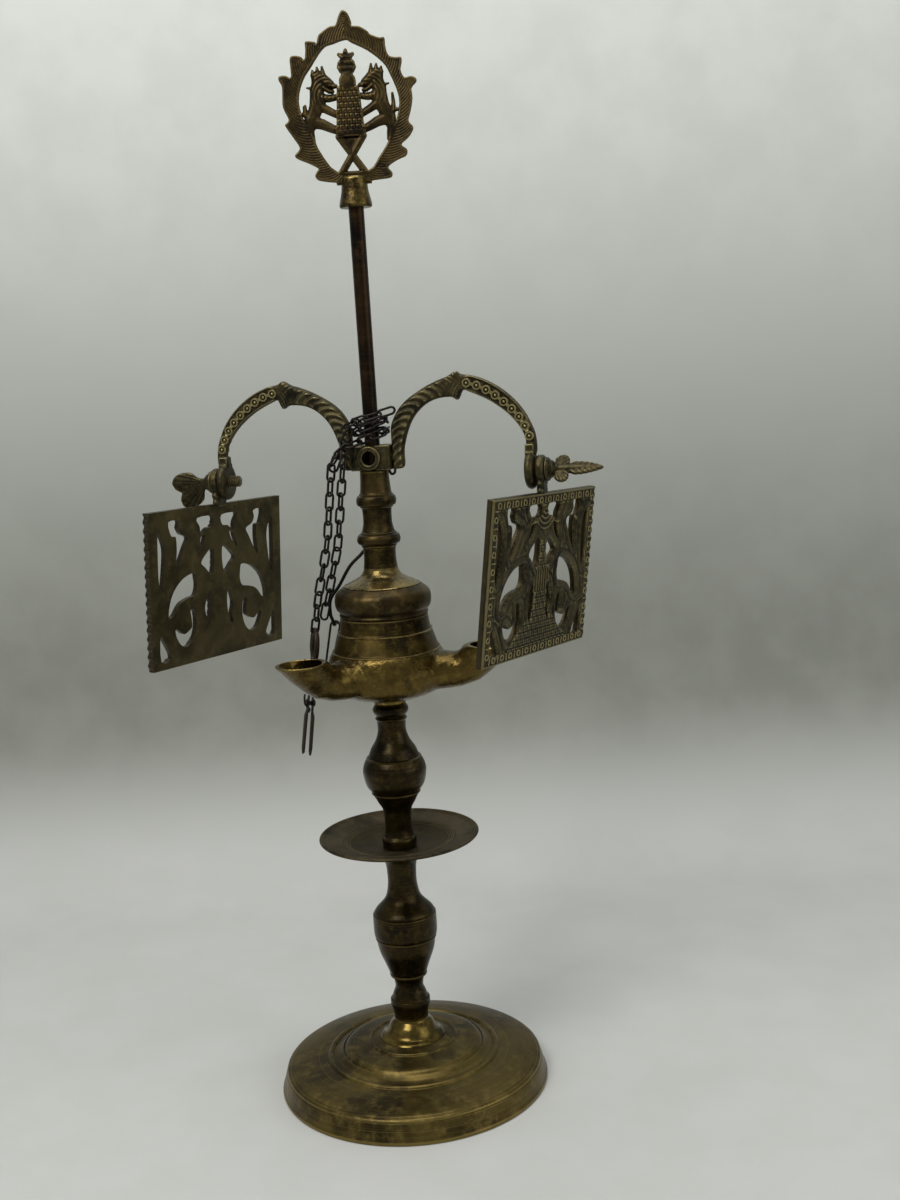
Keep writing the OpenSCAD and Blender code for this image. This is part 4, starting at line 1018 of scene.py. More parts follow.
        socket = [(self.socket_r, top + z), (self.socket_r, top + z - self.socket_depth),
                  (0, top + z - self.socket_depth)]
        piece("upper_stem_ball", lathe(low + raised(line, z) + socket), STEM, "stand", "upper_stem")


@dataclass
class Reservoir:
    """The bowl with its three spouts, the stepped collar and the flange that it turns on."""

    at: Stack
    bowl_r: float = 33.0
    wall: float = 2.0
    collar_r: float = 29.3
    reach: float = 60.0
    mouth_r: float = 12.7
    neck_r: float = 9.5
    spouts: int = 3

    def build(self) -> None:
        """Makes the bowl, its collar and the flange."""
        outside = self.bowl(0.0).joined(*[self.spout(k, 0.0) for k in range(self.spouts)])
        inside = self.bowl(self.wall).joined(*[self.spout(k, self.wall) for k in range(self.spouts)])
        bore = lathe([(0, -1), (5.45, -1), (5.45, 4), (0, 4)], 48)
        skin = recast(outside, 0.62, 10, cutter=inside.joined(bore))
        piece("reservoir_bowl", skin.moved(shift(0, 0, self.at.bowl_z)), BOWL, "reservoir_set", "reservoir", crease=60)
        self.collar()
        keep_node("reservoir_tube", FLANGE)

    def bowl(self, inset: float) -> Shape:
        """Returns the round bowl, drawn in by an inset."""
        r, s = self.bowl_r - inset, self.collar_r - inset
        line = curve([(10.7, inset), (r * 0.62, inset + 0.9), (r * 0.9, 5.4 + inset * 0.6), (r, 12.6),
                      (r * 0.985, 18), (s + 1.4, 24)], 8)
        top = 26.4 if inset == 0 else 30.0
        return lathe([(0, inset)] + line + [(s + 0.2, 25.6), (s - 0.4, top), (0, top)], 96)

    def spout(self, index: int, inset: float) -> Shape:
        """Returns one spout, a tube that turns up into its wide mouth.

        Args:
            index: Which spout, from the front one on.
            inset: How far the tube is drawn in, 0 for the outside.

        Returns:
            The closed tube.
        """
        hollow = inset > 0
        level = self.neck_r + 5.2
        rings = [(12, level, 24, 10.6, 0), (20, level, 21, 11, 0), (26, level, 17, 10.8, 0),
                 (31, level, 13.8, 10.4, 0), (36, level, 11.4, 9.9, 0), (40.5, level + 0.5, 10, 9.6, 10),
                 (46.4, level + 2.6, 9.7, 9.7, 32), (50.0, level + 5.6, 10.1, 10.1, 48),
                 (53.8, level + 8.9, 11, 11, 64), (57.3, level + 11.9, 11.9, 11.9, 78),
                 (self.reach, 28.4, self.mouth_r, self.mouth_r, 89),
                 (self.reach, 29.0 if not hollow else 31.5, self.mouth_r, self.mouth_r, 90)]
        a = np.linspace(0, 2 * np.pi, 40, endpoint=False)
        out = []
        for x, z, wide, tall, tilt in rings:
            thin = inset * (0.7 if tilt > 85 else 1.0)
            up = np.array([-math.sin(math.radians(tilt)), 0, math.cos(math.radians(tilt))])
            side = np.array([0, 1, 0])
            ring = np.outer((wide - thin) * np.cos(a), side) + np.outer((tall - thin) * np.sin(a), up)
            out.append(np.array([x, 0, z]) + ring)
        return loft(out).moved(turn(FRONT_AZ + index * 360 / self.spouts, "Z"))

    def collar(self) -> None:
        """Makes the stepped collar with its bright ring lines."""
        line = [(self.collar_r - 0.9, 25.4), (self.collar_r - 0.2, 25.7), (self.collar_r + 0.15, 26.1),
                (self.collar_r, 26.6), (self.collar_r - 0.7, 26.8)]
        line += curve([(28.3, 27.4), (27.0, 31.4), (25.5, 35.9)], 10)
        line += [(25.7, 36.2), (25.7, 36.7), (25.3, 37.0), (24.8, 37.1), (24.6, 37.4)]
        line += [(24.5 - 0.8 * k / 6, 37.8 + 6.2 * k / 6) for k in range(7)]
        line += [(23.8, 44.2), (23.7, 44.8), (23.3, 45.0)]
        line += [(21.4, 45.0), (22.4, 37.0), (26.4, 26.6), (27.0, 25.4)]
        piece("reservoir_collar", lathe(raised(line, self.at.bowl_z), 160), BAND, "reservoir_set")


@dataclass
class Cap:
    """The bulged cap, its flare painted brighter as a highlight, and the beaded neck over it."""

    at: Stack
    cap_r: float = 26.0
    cap_h: float = 25.4
    neck_r: float = 7.8
    bore_r: float = 4.1
    spigot_r: float = 21.0

    def build(self) -> None:
        """Makes the cap and the neck."""
        r, z = self.cap_r, self.at.cap_z
        n = self.neck_r + 1.4
        lip = curve([(r - 3.4, 0), (r - 2.3, 0.3), (r - 2.0, 1.0), (r - 2.5, 1.8)], 6)
        bulge = curve([(r - 2.5, 2.2), (r - 0.5, 4.8), (r, 9.2), (r - 1, 12.6), (r - 4.2, 15.5), (r - 5.2, 15.9)], 14)
        inner = curve([(r - 7, 13.8), (r - 2.6, 10.6), (r - 2.4, 6.6), (self.spigot_r - 1.2, 2)], 6)
        low = [(self.spigot_r - 1.6, -3), (self.spigot_r - 0.3, -3), (self.spigot_r, -2.6), (self.spigot_r, 0)]
        body = low + lip + bulge + [(r - 5.6, 15.5), (r - 7.6, 14.2)] + inner + [(self.spigot_r - 1.6, 0.4)]
        piece("cap_bulge", lathe(raised(body, z), 160), CAP, "cap_set", "reservoir_cap")
        flare = curve([(r - 5.3, 16.3), (r - 6.1, 16.9), (r - 9.2, 18.5), (n + 2.2, 21.4), (n + 0.2, 24.4),
                       (n, self.cap_h)], 12)
        under = [(self.bore_r + 2.2, self.cap_h), (self.bore_r + 2.2, self.cap_h - 5), (self.neck_r + 1.6, 18.6),
                 (r - 9.6, 15.2), (r - 6.4, 14.6)]
        # The flare takes the brighter finish: a painted highlight.
        piece("cap_flare_skin", lathe(raised([(r - 5.7, 15.6)] + flare + under, z), 160), LIT_FLARE, "cap_set")
        self.neck()

    def neck(self) -> None:
        """Makes the neck with its two beads."""
        n, a, b = self.neck_r, 11.7, 10.7
        top = self.at.neck_top - self.at.neck_z
        foot = curve([(n + 1.4, 0), (n + 0.9, 4), (n + 0.8, 9), (n + 1.1, 11.0)], 8)
        foot = [(self.bore_r + 2.05, 0)] + foot + [(self.bore_r + 2.05, 11.0)]
        piece("neck_foot", lathe(raised(foot, self.at.neck_z)), BAND, "cap_set")
        line = [(n + 1.1, 11.2), (n + 1.5, 11.6), (n + 1.7, 12.2)]
        line += curve([(n + 1.6, 12.7), (a - 0.7, 13.4), (a, 15.4), (a - 0.7, 17.8), (n + 1.9, 18.6)], 8)
        line += [(n + 1.9, 19.1), (n + 1.2, 19.5)]
        line += curve([(n + 0.9, 20.2), (n, 24), (n - 0.1, 29), (n + 0.2, 32.2)], 8)
        line += [(n + 0.8, 32.5), (n + 1.1, 32.9)]
        line += curve([(n + 1.0, 33.3), (b - 0.5, 34), (b, 36.2), (b - 0.5, 38.4), (n + 1.3, 39.2)], 8)
        line += [(n + 1.3, 39.7), (n + 0.8, 40.1)]
        line += curve([(n + 0.6, 40.8), (n + 0.2, 44), (n - 0.1, 49)], 8) + [(n - 0.1, top - 1.2), (n - 0.1, top - 0.4), (n - 0.5, top)]
        low = [(self.bore_r + 0.1, -4.6), (self.bore_r + 2.0, -4.6), (self.bore_r + 2.0, 11.2)]
        profile = low + line + [(self.bore_r + 0.1, top)]
        piece("neck_beads", lathe(raised(profile, self.at.neck_z)), NECK, "cap_set", "cap_neck")


@dataclass
class Bracket:
    """The collar block on the rod with its two cast arms."""

    at: Stack
    reach: float = 85.3
    thick: float = 6.0
    eye_r: float = 10.0
    eye_t: float = 5.0
    block_half: float = 11.0
    screw_r: float = 3.15

    OUTER = [(11, 4.2), (11, 22.6), (12, 28), (15.4, 34), (20.2, 38.8), (25.9, 42.5), (32, 45.8), (38.4, 48.4),
             (43.6, 50), (47.9, 52.4), (50.4, 50.8), (57, 49.6), (63.5, 47.1), (70, 43.4), (75.9, 38.7),
             (80.8, 33.4), (84.5, 27.7), (87.2, 22), (88.7, 16.7), (88.4, 8)]
    INNER = [(82.4, 8), (83.4, 14), (82.2, 19.2), (79.2, 24.4), (75.4, 28.8), (71, 32.6), (66.2, 36), (61.2, 38.7),
             (55.6, 41.2), (51.7, 42.6), (50.2, 40.6), (48.4, 37.6), (45.6, 39.2), (40, 39.2), (34.8, 38.1),
             (29.6, 35.4), (25.1, 31.2), (22, 26.6), (19.4, 20.4), (17.5, 13), (17.4, 5.4), (15.8, 3.5), (12.6, 3.4)]
    MIDDLE = [(14.2, 3), (14.4, 14), (16, 23), (21, 32), (28.5, 39), (37, 43.6), (47, 46.6), (57, 45.2),
              (65.5, 41.2), (73.2, 35.4), (79.5, 29), (83.8, 22), (86, 15), (86, 6)]

    @property
    def eye_z(self) -> float:
        """Height of the arms' eyes."""
        return span("left_arm")[0].z + self.eye_r

    def build(self) -> None:
        """Makes the collar block and both arms with their punched flowers."""
        skin = recast(cad_copy("arm_collar"), 0.34, 14)
        piece("collar_block", skin, CAST, "bracket", "arm_collar", crease=60)
        arm = self.arm()
        for side, az in (("right", FRONT_AZ), ("left", FRONT_AZ + 180)):
            place = shift(0, 0, self.eye_z) @ turn(az, "Z")
            piece(f"{side}_arm_casting", arm.moved(place), CAST, "bracket", f"{side}_arm", crease=60)
            self.flowers(side, place)

    def arm(self) -> Shape:
        """Returns one arm standing over +X, its eye included."""
        d = Drawing((10.5, 2.5), (89.5, 53), 0.34)
        inside = d.polygon(loop(self.OUTER + self.INNER, 3))
        s, q = d.along(curve(self.MIDDLE, 6))
        crown = 61.0
        feather = 0.5 + 0.5 * np.cos(2 * np.pi * (s / 4.6 + q / 6.5 + 0.02 * q * q))
        inner_half = eased(s, 0, 3) * (1 - eased(s, crown - 9, crown - 5))
        outer_half = eased(s, crown + 5, crown + 8) * (1 - eased(s, 103, 106))
        collar = np.exp(-(((s - crown + 1) / 4.2) ** 2))
        ribs = 0.5 + 0.5 * np.cos(2 * np.pi * (s + 0.9 * np.abs(q)) / 2.6)
        height = 0.15 + 0.8 * feather * inner_half * eased(inside, 0.5, 1.4)
        height += collar * (0.7 + 0.45 * ribs)
        height += outer_half * (0.55 - 1.05 * eased(inside, 0.5, 1.1))
        face = self.thick / 2 - 0.9 + height + 1.6 * rounded_edge(inside, 1.5) / 1.5
        plate = d.cast(inside, np.minimum(face, self.thick / 2 + 0.5), -np.minimum(face, self.thick / 2 + 0.5))
        half = self.eye_t / 2
        side = curve([(self.eye_r - 3.0, -half), (self.eye_r - 0.9, -half * 0.72), (self.eye_r, 0),
                      (self.eye_r - 0.9, half * 0.72), (self.eye_r - 3.0, half)], 5)
        eye = lathe([(self.screw_r, -half)] + side + [(self.screw_r, half)], 48)
        eye = eye.moved(shift(self.reach, 0, 0) @ turn(90, "Y"))
        shoulder = block((self.reach - 2.2, -4.6, 5), (self.reach + 2.2, 4.6, 9.6))
        shoulder = shoulder.joined(block((self.reach - 2.3, -3.4, 8), (self.reach + 2.3, 3.4, 13.4)))
        tenon = lathe([(0, 0), (2.6, 0), (2.6, 7), (0, 7)], 32)
        tenon = tenon.moved(shift(self.block_half - 4, 0, 3.2 + 6.6) @ turn(90, "Y"))
        return recast(plate.moved(turn(90, "X")).joined(eye, shoulder, tenon), 0.32, 4)

    def flowers(self, side: str, place: Matrix) -> None:
        """Sets the punched flowers along the outer half of an arm, on both faces."""
        tree = beading_tree(BEAD.material())
        path = [p for p in curve(self.MIDDLE, 6) if p[0] > 52.5 and (p[1] > 17 or p[0] < 80)]
        sizes = {"Pitch": 2.75, "Ring": 1.9, "Wire": 0.6, "Bar": 1.6, "Dot": 0.8}
        parts = []
        for mirrored in (1, -1):
            points = np.array([(mirrored * x, y, self.thick / 2 - 0.75) for x, y in path])
            if mirrored < 0:
                points = points[::-1]
            edges = [(i, i + 1) for i in range(len(points) - 1)]
            obj = tree.grown(f"{side}_flowers", points, edges, sizes)
            facing = turn(90, "X") if mirrored > 0 else turn(180, "Z") @ turn(90, "X")
            matrix = (place @ facing).copy()
            matrix.translation *= MM
            obj.data.transform(matrix)
            parts.append(obj)
        front, back = parts
        front.name = f"{side}_arm_flowers_front"
        back.name = f"{side}_arm_flowers_back"
        # The flowers take the darker copy of the cast brass, the one made dark to paint shade.
        for obj in parts:
            dress(obj, SHADE_DARKENED_CAST, "bracket", (), 50)


@dataclass
class Screen:
    """A pierced cast screen: smooth behind, with scrolls, a tower and a beaded border in front."""

    side: str
    at_az: float
    bend: float
    eye_z: float
    width: float = 107.0
    height: float = 85.0
    thick: float = 3.0
    border: float = 5.6
    bead: float = 4.8
    drop: float = 12.0
    yaw: float = 17.6
    stand_out: float = 2.4
    lug_at: float = 90.5
    lug_r: float = 7.5
    lug_t: float = 4.4

    HOLES = [
        [(-96, 8), (-91, 12), (-87, 20), (-88, 31), (-92, 47), (-95, 50), (-97, 40), (-97, 22)],
        [(-79, 1), (-64, 1), (-65, 6), (-60, 11), (-50, 14), (-55, 20), (-69, 35), (-67, 23), (-68, 12), (-75, 11)],
        [(-33, 1), (-8, 1), (-9, 8), (-18, 9), (-27, 13), (-29, 7)],
        [(-27, 15), (-21, 14), (-24, 20), (-33, 26), (-29, 19)],
        [(-9, 24), (-7, 31), (-8, 39), (-12, 44), (-22, 38), (-28, 34), (-19, 28)],
        [(-40, 41), (-38, 45), (-37, 51), (-41, 57), (-50, 58), (-61, 60), (-68, 63), (-76, 69), (-83, 70),
         (-81, 61), (-74, 52), (-62, 45), (-51, 42)],
        [(-48, 68), (-42, 69), (-40, 76), (-41, 83), (-46, 90), (-55, 94), (-65, 92), (-72, 85), (-73, 80),
         (-67, 82), (-60, 85), (-51, 83), (-46, 80), (-47, 73)],
        [(-97, 83), (-90, 89), (-82, 100), (-97, 101)],
        [(-16, 56), (-14, 64), (-14, 71), (-17, 80), (-22, 84), (-21, 77), (-24, 70), (-22, 64)],
    ]

    @property
    def hang(self) -> Matrix:
        """Place of the lug, its bore along +X."""
        return shift(0, 0, self.eye_z) @ turn(self.at_az, "Z") @ shift(self.lug_at, 0, 0)

    @property
    def plane(self) -> Matrix:
        """Place of the plate's drawing: X across, Y up from the top edge, Z out of the front."""
        tilt = turn(-self.bend, "Y") @ turn(90 - self.yaw, "Z")
        return self.hang @ shift(self.stand_out, 0, 0) @ tilt @ shift(0, 0, -self.drop) @ turn(90, "X")

    def build(self) -> None:
        """Makes the plate, its lug and its border."""
        d = Drawing((-self.width / 2, -self.height), (self.width / 2, 0), 0.36)
        inside, holes = self.outline(d)
        front = self.thick / 2 + self.relief(d, inside, holes)
        plate = d.cast(inside, front, -self.thick / 2, flat_back=True).moved(self.plane)
        body = f"{self.side}_shade"
        obj = piece(f"{self.side}_screen_plate", plate, CAST, body, f"{self.side}_screen", crease=50)
        self.dress_back(obj)
        piece(f"{self.side}_screen_lug", self.lug().moved(self.hang), CAST, body, crease=60)
        self.beading(body)

    def outline(self, d: Drawing) -> tuple[Array, Array]:
        """Returns the field of the plate and the distance from its holes."""
        w, h = self.width / 2 - self.border, self.height - 2 * self.border
        scallop = 0.9 * (0.5 - 0.5 * np.cos(2 * np.pi * d.y / self.bead)) * (d.x > 0)
        sheet = np.minimum(self.width / 2 - np.abs(d.x) - scallop, np.minimum(-d.y, d.y + self.height))
        away = np.full(d.x.shape, 1e9)
        for hole in self.HOLES:
            for s in (-1, 1):
                corners = [(-s * x * w / 100, -self.border - y * h / 100) for x, y in hole]
                away = np.minimum(away, -0.25 - d.polygon(loop(corners, 3)))
        return np.minimum(sheet, away), away

    def relief(self, d: Drawing, inside: Array, holes: Array) -> Array:
        """Returns the height of the front's relief: ridges that follow the scrolls, the tower and the rim."""
        sheet = np.minimum(self.width / 2 - np.abs(d.x), np.minimum(-d.y, d.y + self.height))
        field_ = eased(sheet, self.border - 0.6, self.border + 0.4)
        ridges = (0.5 - 0.5 * np.cos(2 * np.pi * (holes - 0.3) / 4.1)) ** 0.55
        scroll = (0.25 + 0.85 * ridges) * (1 - eased(holes, 6.6, 8.2)) + 0.5 * eased(holes, 6.6, 8.2)
        w, h = self.width * 0.09, self.height
        body = d.polygon([(-w * 1.0, -h * 0.95), (w * 1.0, -h * 0.95), (w * 0.72, -h * 0.44), (-w * 0.72, -h * 0.44)])
        base = d.polygon([(-w * 3.4, -h * 0.95), (w * 3.4, -h * 0.95), (w * 1.1, -h * 0.74), (-w * 1.1, -h * 0.74)])
        neck = d.polygon([(-w * 0.36, -h * 0.45), (w * 0.36, -h * 0.45), (w * 0.3, -h * 0.28), (-w * 0.3, -h * 0.28)])
        tower = np.maximum(np.maximum(body, base), neck)
        for i in (-1, 0, 1):
            x = i * w * 0.58
            merlon = d.polygon([(x - 1.6, -h * 0.45), (x + 1.6, -h * 0.45), (x + 1.6, -h * 0.4), (x - 1.6, -h * 0.4)])
            tower = np.maximum(tower, merlon)
        row = np.floor(d.y / 3.4)
        brick_x = 2.2 - np.abs((d.x + 2.2 * (row % 2)) % 4.4 - 2.2)
        brick_y = 1.7 - np.abs(d.y % 3.4 - 1.7)
        bricks = 0.6 + 0.55 * eased(np.minimum(brick_x, brick_y), 0.05, 0.8)
        flutes = 0.75 + 0.35 * np.cos(2 * np.pi * d.x / 2.4)
        bricks = np.where((d.y > -0.6 * h) & (d.y < -0.47 * h), flutes, bricks)
        crown = d.polygon(loop([(-9, -7), (-4, -10), (0, -8), (4, -10), (9, -7), (7, -15), (2, -19), (-2, -19), (-7, -15)]))
        petals = 0.6 + 0.5 * np.cos(np.hypot(d.x, d.y + 8) * 2.4)
        height = scroll * field_
        height = np.where(crown > 0, petals * field_, height)
        height = height + (bricks - height) * eased(tower, -0.2, 0.5) * field_
        rim = 0.75 + 0.3 * eased(1.0 - np.abs(sheet - 0.6), 0.1, 0.7) + 0.2 * eased(0.6 - np.abs(sheet - 5.2), 0.0, 0.4)
        height = np.maximum(height, rim * (1 - field_))
        return np.minimum(height, 1.25) + 1.1 * rounded_edge(inside, 0.9)

    def dress_back(self, obj: bpy.types.Object) -> None:
        """Gives the flat back of the plate its smoother finish and the walls the darker copy of the cast brass, painted
        shade.
        """
        mesh = obj.data
        mesh.materials.append(BACK.material())
        mesh.materials.append(SHADE_DARKENED_CAST.material())
        out = (self.plane.to_3x3() @ Vector((0, 0, 1))).normalized()
        normals = np.zeros(len(mesh.polygons) * 3)
        mesh.polygons.foreach_get("normal", normals)
        facing = normals.reshape(-1, 3) @ np.array(out)
        # Index 2, the walls, takes the darker copy of the cast brass: painted shade.
        part = np.where(facing > 0.1, 0, np.where(facing < -0.4, 1, 2))
        mesh.polygons.foreach_set("material_index", part)
        mesh.polygons.foreach_set("use_smooth", facing > -0.5)

    def lug(self) -> Shape:
        """Returns the lobed lug and the neck that the plate hangs from."""
        r, t = self.lug_r, self.lug_t
        disc = lathe([(3.2, -t / 2), (r - 0.9, -t / 2), (r, -t / 2 + 0.9), (r, t / 2 - 0.9), (r - 0.9, t / 2),
                      (3.2, t / 2)], 48).moved(turn(90, "Y"))
        neck = block((-t / 2 + 0.2, -4.4, -self.drop - 1.2), (t / 2 - 0.2, 4.4, -4.4))
        ring = [(5.7 * math.cos(a), 5.7 * math.sin(a), 2.1) for a in np.radians(range(-30, 211, 48))]
        lobes = []
        for y, z, size in [*ring, (-4.3, -7.2, 2.2), (4.3, -7.2, 2.2), (-4.9, -10.6, 1.8), (4.9, -10.6, 1.8)]:
            ball = lathe([(0, -size)] + [(size * math.sin(a), -size * math.cos(a)) for a in np.linspace(0.2, 2.94, 12)]
                         + [(0, size)], 20)
            lobes.append(ball.moved(shift(0, y, z)))
        return recast(disc.joined(neck, *lobes), 0.36, 3)

    def beading(self, body: str) -> None:
        """Sets the rings and bars round the border of the front."""
        tree = beading_tree(BEAD.material())
        inset = 3.3
        x, y = self.width / 2 - inset, self.height - inset
        gap = 2.6
        sides = [((-x + gap, -inset), (x - gap, -inset)), ((x, -inset - gap), (x, -y + gap)),
                 ((x - gap, -y), (-x + gap, -y)), ((-x, -y + gap), (-x, -inset - gap))]
        points, edges = [], []
        for a, b in sides:
            edges.append((len(points), len(points) + 1))
            points += [(*a, self.thick / 2 + 0.85), (*b, self.thick / 2 + 0.85)]
        sizes = {"Pitch": 4.1, "Ring": 1.4, "Wire": 0.42, "Bar": 3.6, "Dot": 0.01}
        obj = tree.grown(f"{self.side}_screen_beading", np.array(points), edges, sizes)
        matrix = self.plane.copy()
        matrix.translation *= MM
        obj.data.transform(matrix)
        dress(obj, BEAD, body, (), 50)


class Leaves(Enum):
    """How the leaves of a thumb screw lie: (turn about the screw, then length, width and splay of each)."""

    LONG = (50, ((25.0, 7.6, 0), (9.6, 7.2, 52), (9.6, 7.2, -52)))
    BROAD = (80, ((20.0, 11.4, 0), (20.0, 11.4, -40)))


@dataclass
class ThumbScrew:
    """A thumb screw with a cast head of leaves."""

    side: str
    at_az: float
    eye_z: float
    leaves: Leaves
    tip_gap: float
    screw_r: float = 3.1
    seat: float = 92.9
    arm_reach: float = 85.3

    def build(self) -> None:
        """Makes the screw with its head."""
        tip = self.arm_reach - 2.5 - self.tip_gap
        shank = [(0, 0), (self.screw_r - 0.5, 0)]
        length = self.seat - tip + 1
        for i in range(int(length / 1.0)):
            shank += [(self.screw_r - 0.3, i + 0.25), (self.screw_r, i + 0.6)]
        shank += [(self.screw_r, length), (0, length)]
        body = lathe(shank, 40).moved(shift(tip, 0, 0) @ turn(90, "Y"))
        collar = [(0, 0), (6.0, 0), (6.3, 0.7), (5.9, 1.8), (4.7, 2.6), (4.6, 3.2), (4.2, 4.0), (2.6, 5.2), (2.4, 6.4),
                  (0, 6.4)]
        collar = lathe(collar, 40).moved(shift(self.seat, 0, 0) @ turn(90, "Y"))
        spin, blades = self.leaves.value
        head = shift(self.seat + 5, 0, 0) @ turn(spin, "X")
        parts = [self.blade(*b[:2]).moved(head @ turn(b[2], "Z")) for b in blades]
        if self.leaves is Leaves.LONG:
            core = lathe([(0, -1), (2.1, -0.5), (2.0, 8), (1.2, 22), (0, 22.4)], 24)
            parts.append(core.moved(head @ turn(90, "Y")))
        skin = recast(collar.joined(*parts), 0.26, 2)
        place = shift(0, 0, self.eye_z) @ turn(self.at_az, "Z")
        whole = skin.joined(body).moved(place)
        piece(f"{self.side}_screw_leaves", whole, LEAF, f"{self.side}_screw", f"{self.side}_thumb_screw", crease=60)

    @staticmethod
    def blade(length: float, width: float) -> Shape:
        """Returns a veined leaf along +X in the plane of X and Y."""
        d = Drawing((-1.5, -width / 2 - 0.5), (length + 0.5, width / 2 + 0.5), 0.3)
        w = width / 2
        full = 0.72 if length < 3 * width else 0.42
        side = [(-1, 1.5), (length * full * 0.45, w * 0.5), (length * full, w), (length * (full + 1) / 2, w * 0.78)]
        if length < 3 * width:
            side = [(-1, 1.5), (length * 0.2, w * 0.5), (length * 0.42, w), (length * 0.68, w), (length * 0.9, w * 0.66)]
        line = side + [(length, 0.0)] + [(x, -y) for x, y in reversed(side)]
        inside = d.polygon(loop(line, 6))
        rib = np.exp(-((d.y / 0.7) ** 2))
        if length < 3 * width:
            veins = 0.5 + 0.5 * np.cos(2 * np.pi * np.arctan2(d.y, d.x + 3) / 0.15)
        else:
            veins = 0.5 + 0.5 * np.cos(2 * np.pi * (d.x - 1.1 * np.abs(d.y)) / 3.2)
        face = 0.9 + 0.4 * rib + 0.42 * veins * (1 - rib) + 0.9 * rounded_edge(inside, 0.9)
        return d.cast(inside, face, -face)


@dataclass
class Finial:
    """A leafy wreath round a brick tower between two crowned beasts, on its socket."""

    at: Stack
    socket_h: float = 15.0
    thick: float = 4.0
    rod_r: float = 4.05

    LEFT = [(-7.6, -1.0), (-13.5, -0.4), (-18.4, 0.8), (-19.8, 3.0), (-18.4, 5.4), (-18.0, 6.6), (-22.8, 9.4),
            (-28.4, 12.0), (-29.2, 14.0), (-26.6, 17.0), (-29.6, 22.4), (-32.6, 27.2), (-33.2, 29.2), (-31.2, 31.2),
            (-33.6, 37.2), (-33.6, 42.8), (-33.4, 47.6), (-34.8, 50.6), (-34.6, 52.6), (-31.4, 53.0),
            (-28.6, 51.8), (-28.4, 56.0), (-28.4, 61.2), (-26.4, 62.4), (-23.0, 61.8), (-21.0, 60.2),
            (-20.2, 65.0), (-20.2, 68.2), (-19.0, 69.0), (-15.2, 68.4), (-14.4, 67.4), (-13.2, 71.2),
            (-11.4, 72.8), (-7.2, 75.4), (-4.2, 75.8), (-2.6, 79.6), (-1.2, 82.2), (0.2, 82.8)]
    RIGHT = [(7.6, -1.0), (13.2, -0.6), (19.0, 0.0), (19.9, 2.4), (18.0, 5.4), (23.2, 8.6), (27.6, 10.4),
             (28.2, 13.4), (25.4, 16.0), (29.2, 19.2), (31.8, 22.8), (31.8, 24.8), (29.8, 27.4), (31.4, 32.8),
             (32.6, 38.6), (32.4, 43.4), (35.0, 46.2), (34.8, 48.0), (32.2, 49.2), (29.0, 48.8), (27.4, 52.6),
             (28.2, 56.2), (28.0, 58.6), (25.0, 58.8), (21.6, 60.0), (20.4, 64.8), (20.4, 67.4), (19.8, 68.8),
             (17.4, 68.8), (13.0, 70.6), (12.0, 72.0), (8.0, 74.6), (4.0, 75.2), (4.0, 77.0), (2.4, 81.2)]
    HOLE = [(-8.0, 4.2), (-16.0, 14.2), (-19.0, 21.2), (-23.4, 30.4), (-25.4, 40.2), (-22.8, 49.6), (-18.0, 56.4),
            (-11.2, 65.0), (-6.4, 66.8), (0.4, 68.6), (3.4, 67.0), (11.0, 63.0), (18.4, 56.8), (21.8, 50.8),
            (25.6, 39.4), (24.2, 29.8), (19.2, 18.6), (13.4, 10.2), (7.6, 4.2)]
    RING = [(0.0, -1.0), (10.0, 0.4), (20.4, 9.4), (27.8, 24.0), (29.4, 42.0), (24.6, 56.4), (15.4, 66.6), (0.0, 74.0)]

    def build(self) -> None:
        """Makes the socket and the casting over it."""
        z = self.at.finial_z
        line = curve([(7.9, 0), (8.5, 0.8), (8.2, 3.0), (7.0, 8.6), (6.5, self.socket_h - 0.6)], 8)
        deep = self.at.rod_top - z + 0.4
        profile = [(0, deep), (self.rod_r, deep), (self.rod_r, 0)] + line + [(5.8, self.socket_h + 0.3),
                                                                            (0, self.socket_h + 0.3)]
        piece("finial_socket", lathe(raised(profile, z), 96), SOCKET, "stand", "finial")
        d = Drawing((-35.6, -3.2), (35.6, 84), 0.34)
        inside, height = self.art(d)
        front = np.minimum(height + 1.3 * rounded_edge(inside, 1.0), self.thick / 2 + 0.4)
        casting = d.cast(inside, front, -front)
        place = shift(0, 0, z + self.socket_h - 1) @ turn(90, "X")
        piece("finial_wreath", casting.moved(place), WREATH, "stand", crease=55)

    def art(self, d: Drawing) -> tuple[Array, Array]:
        """Returns the field of the whole casting and the height of its relief over the middle plane."""
        ring, ring_h = self.wreath(d)
        beasts = np.maximum(self.beast(d, 1), self.beast(d, -1))
        tower, tower_h = self.tower(d)
        struts = np.full(d.x.shape, -1e9)
        for s in (-1, 1):
            struts = np.maximum(struts, d.stroke([(s * 6.2, 21.6), (-s * 7.4, 1.4)], 1.9))
        web = d.polygon([(-5.6, 21), (5.6, 21), (0, 12.4)])
        inside = np.maximum.reduce([ring, beasts, tower, struts, web])
        mane = 0.5 + 0.5 * np.cos(2 * np.pi * (np.hypot(np.abs(d.x) - 9.5, d.y - 41.0)) / 1.9)
        body = eased(beasts, 0, 2.2)
        height = np.full(d.x.shape, 0.9)
        height = np.where(web > 0, 0.8, height)
        height = np.where(struts > -0.3, 1.0 + 0.9 * np.sqrt(np.clip(struts / 1.9, 0, 1)), height)
        height = np.where(beasts > -0.2, 1.0 + 1.0 * body + 0.35 * mane * eased(d.y, 36, 40) * body, height)
        height = np.where(ring > -0.2, ring_h, height)
        height = np.where(tower > -0.2, tower_h, height)
        return inside, height

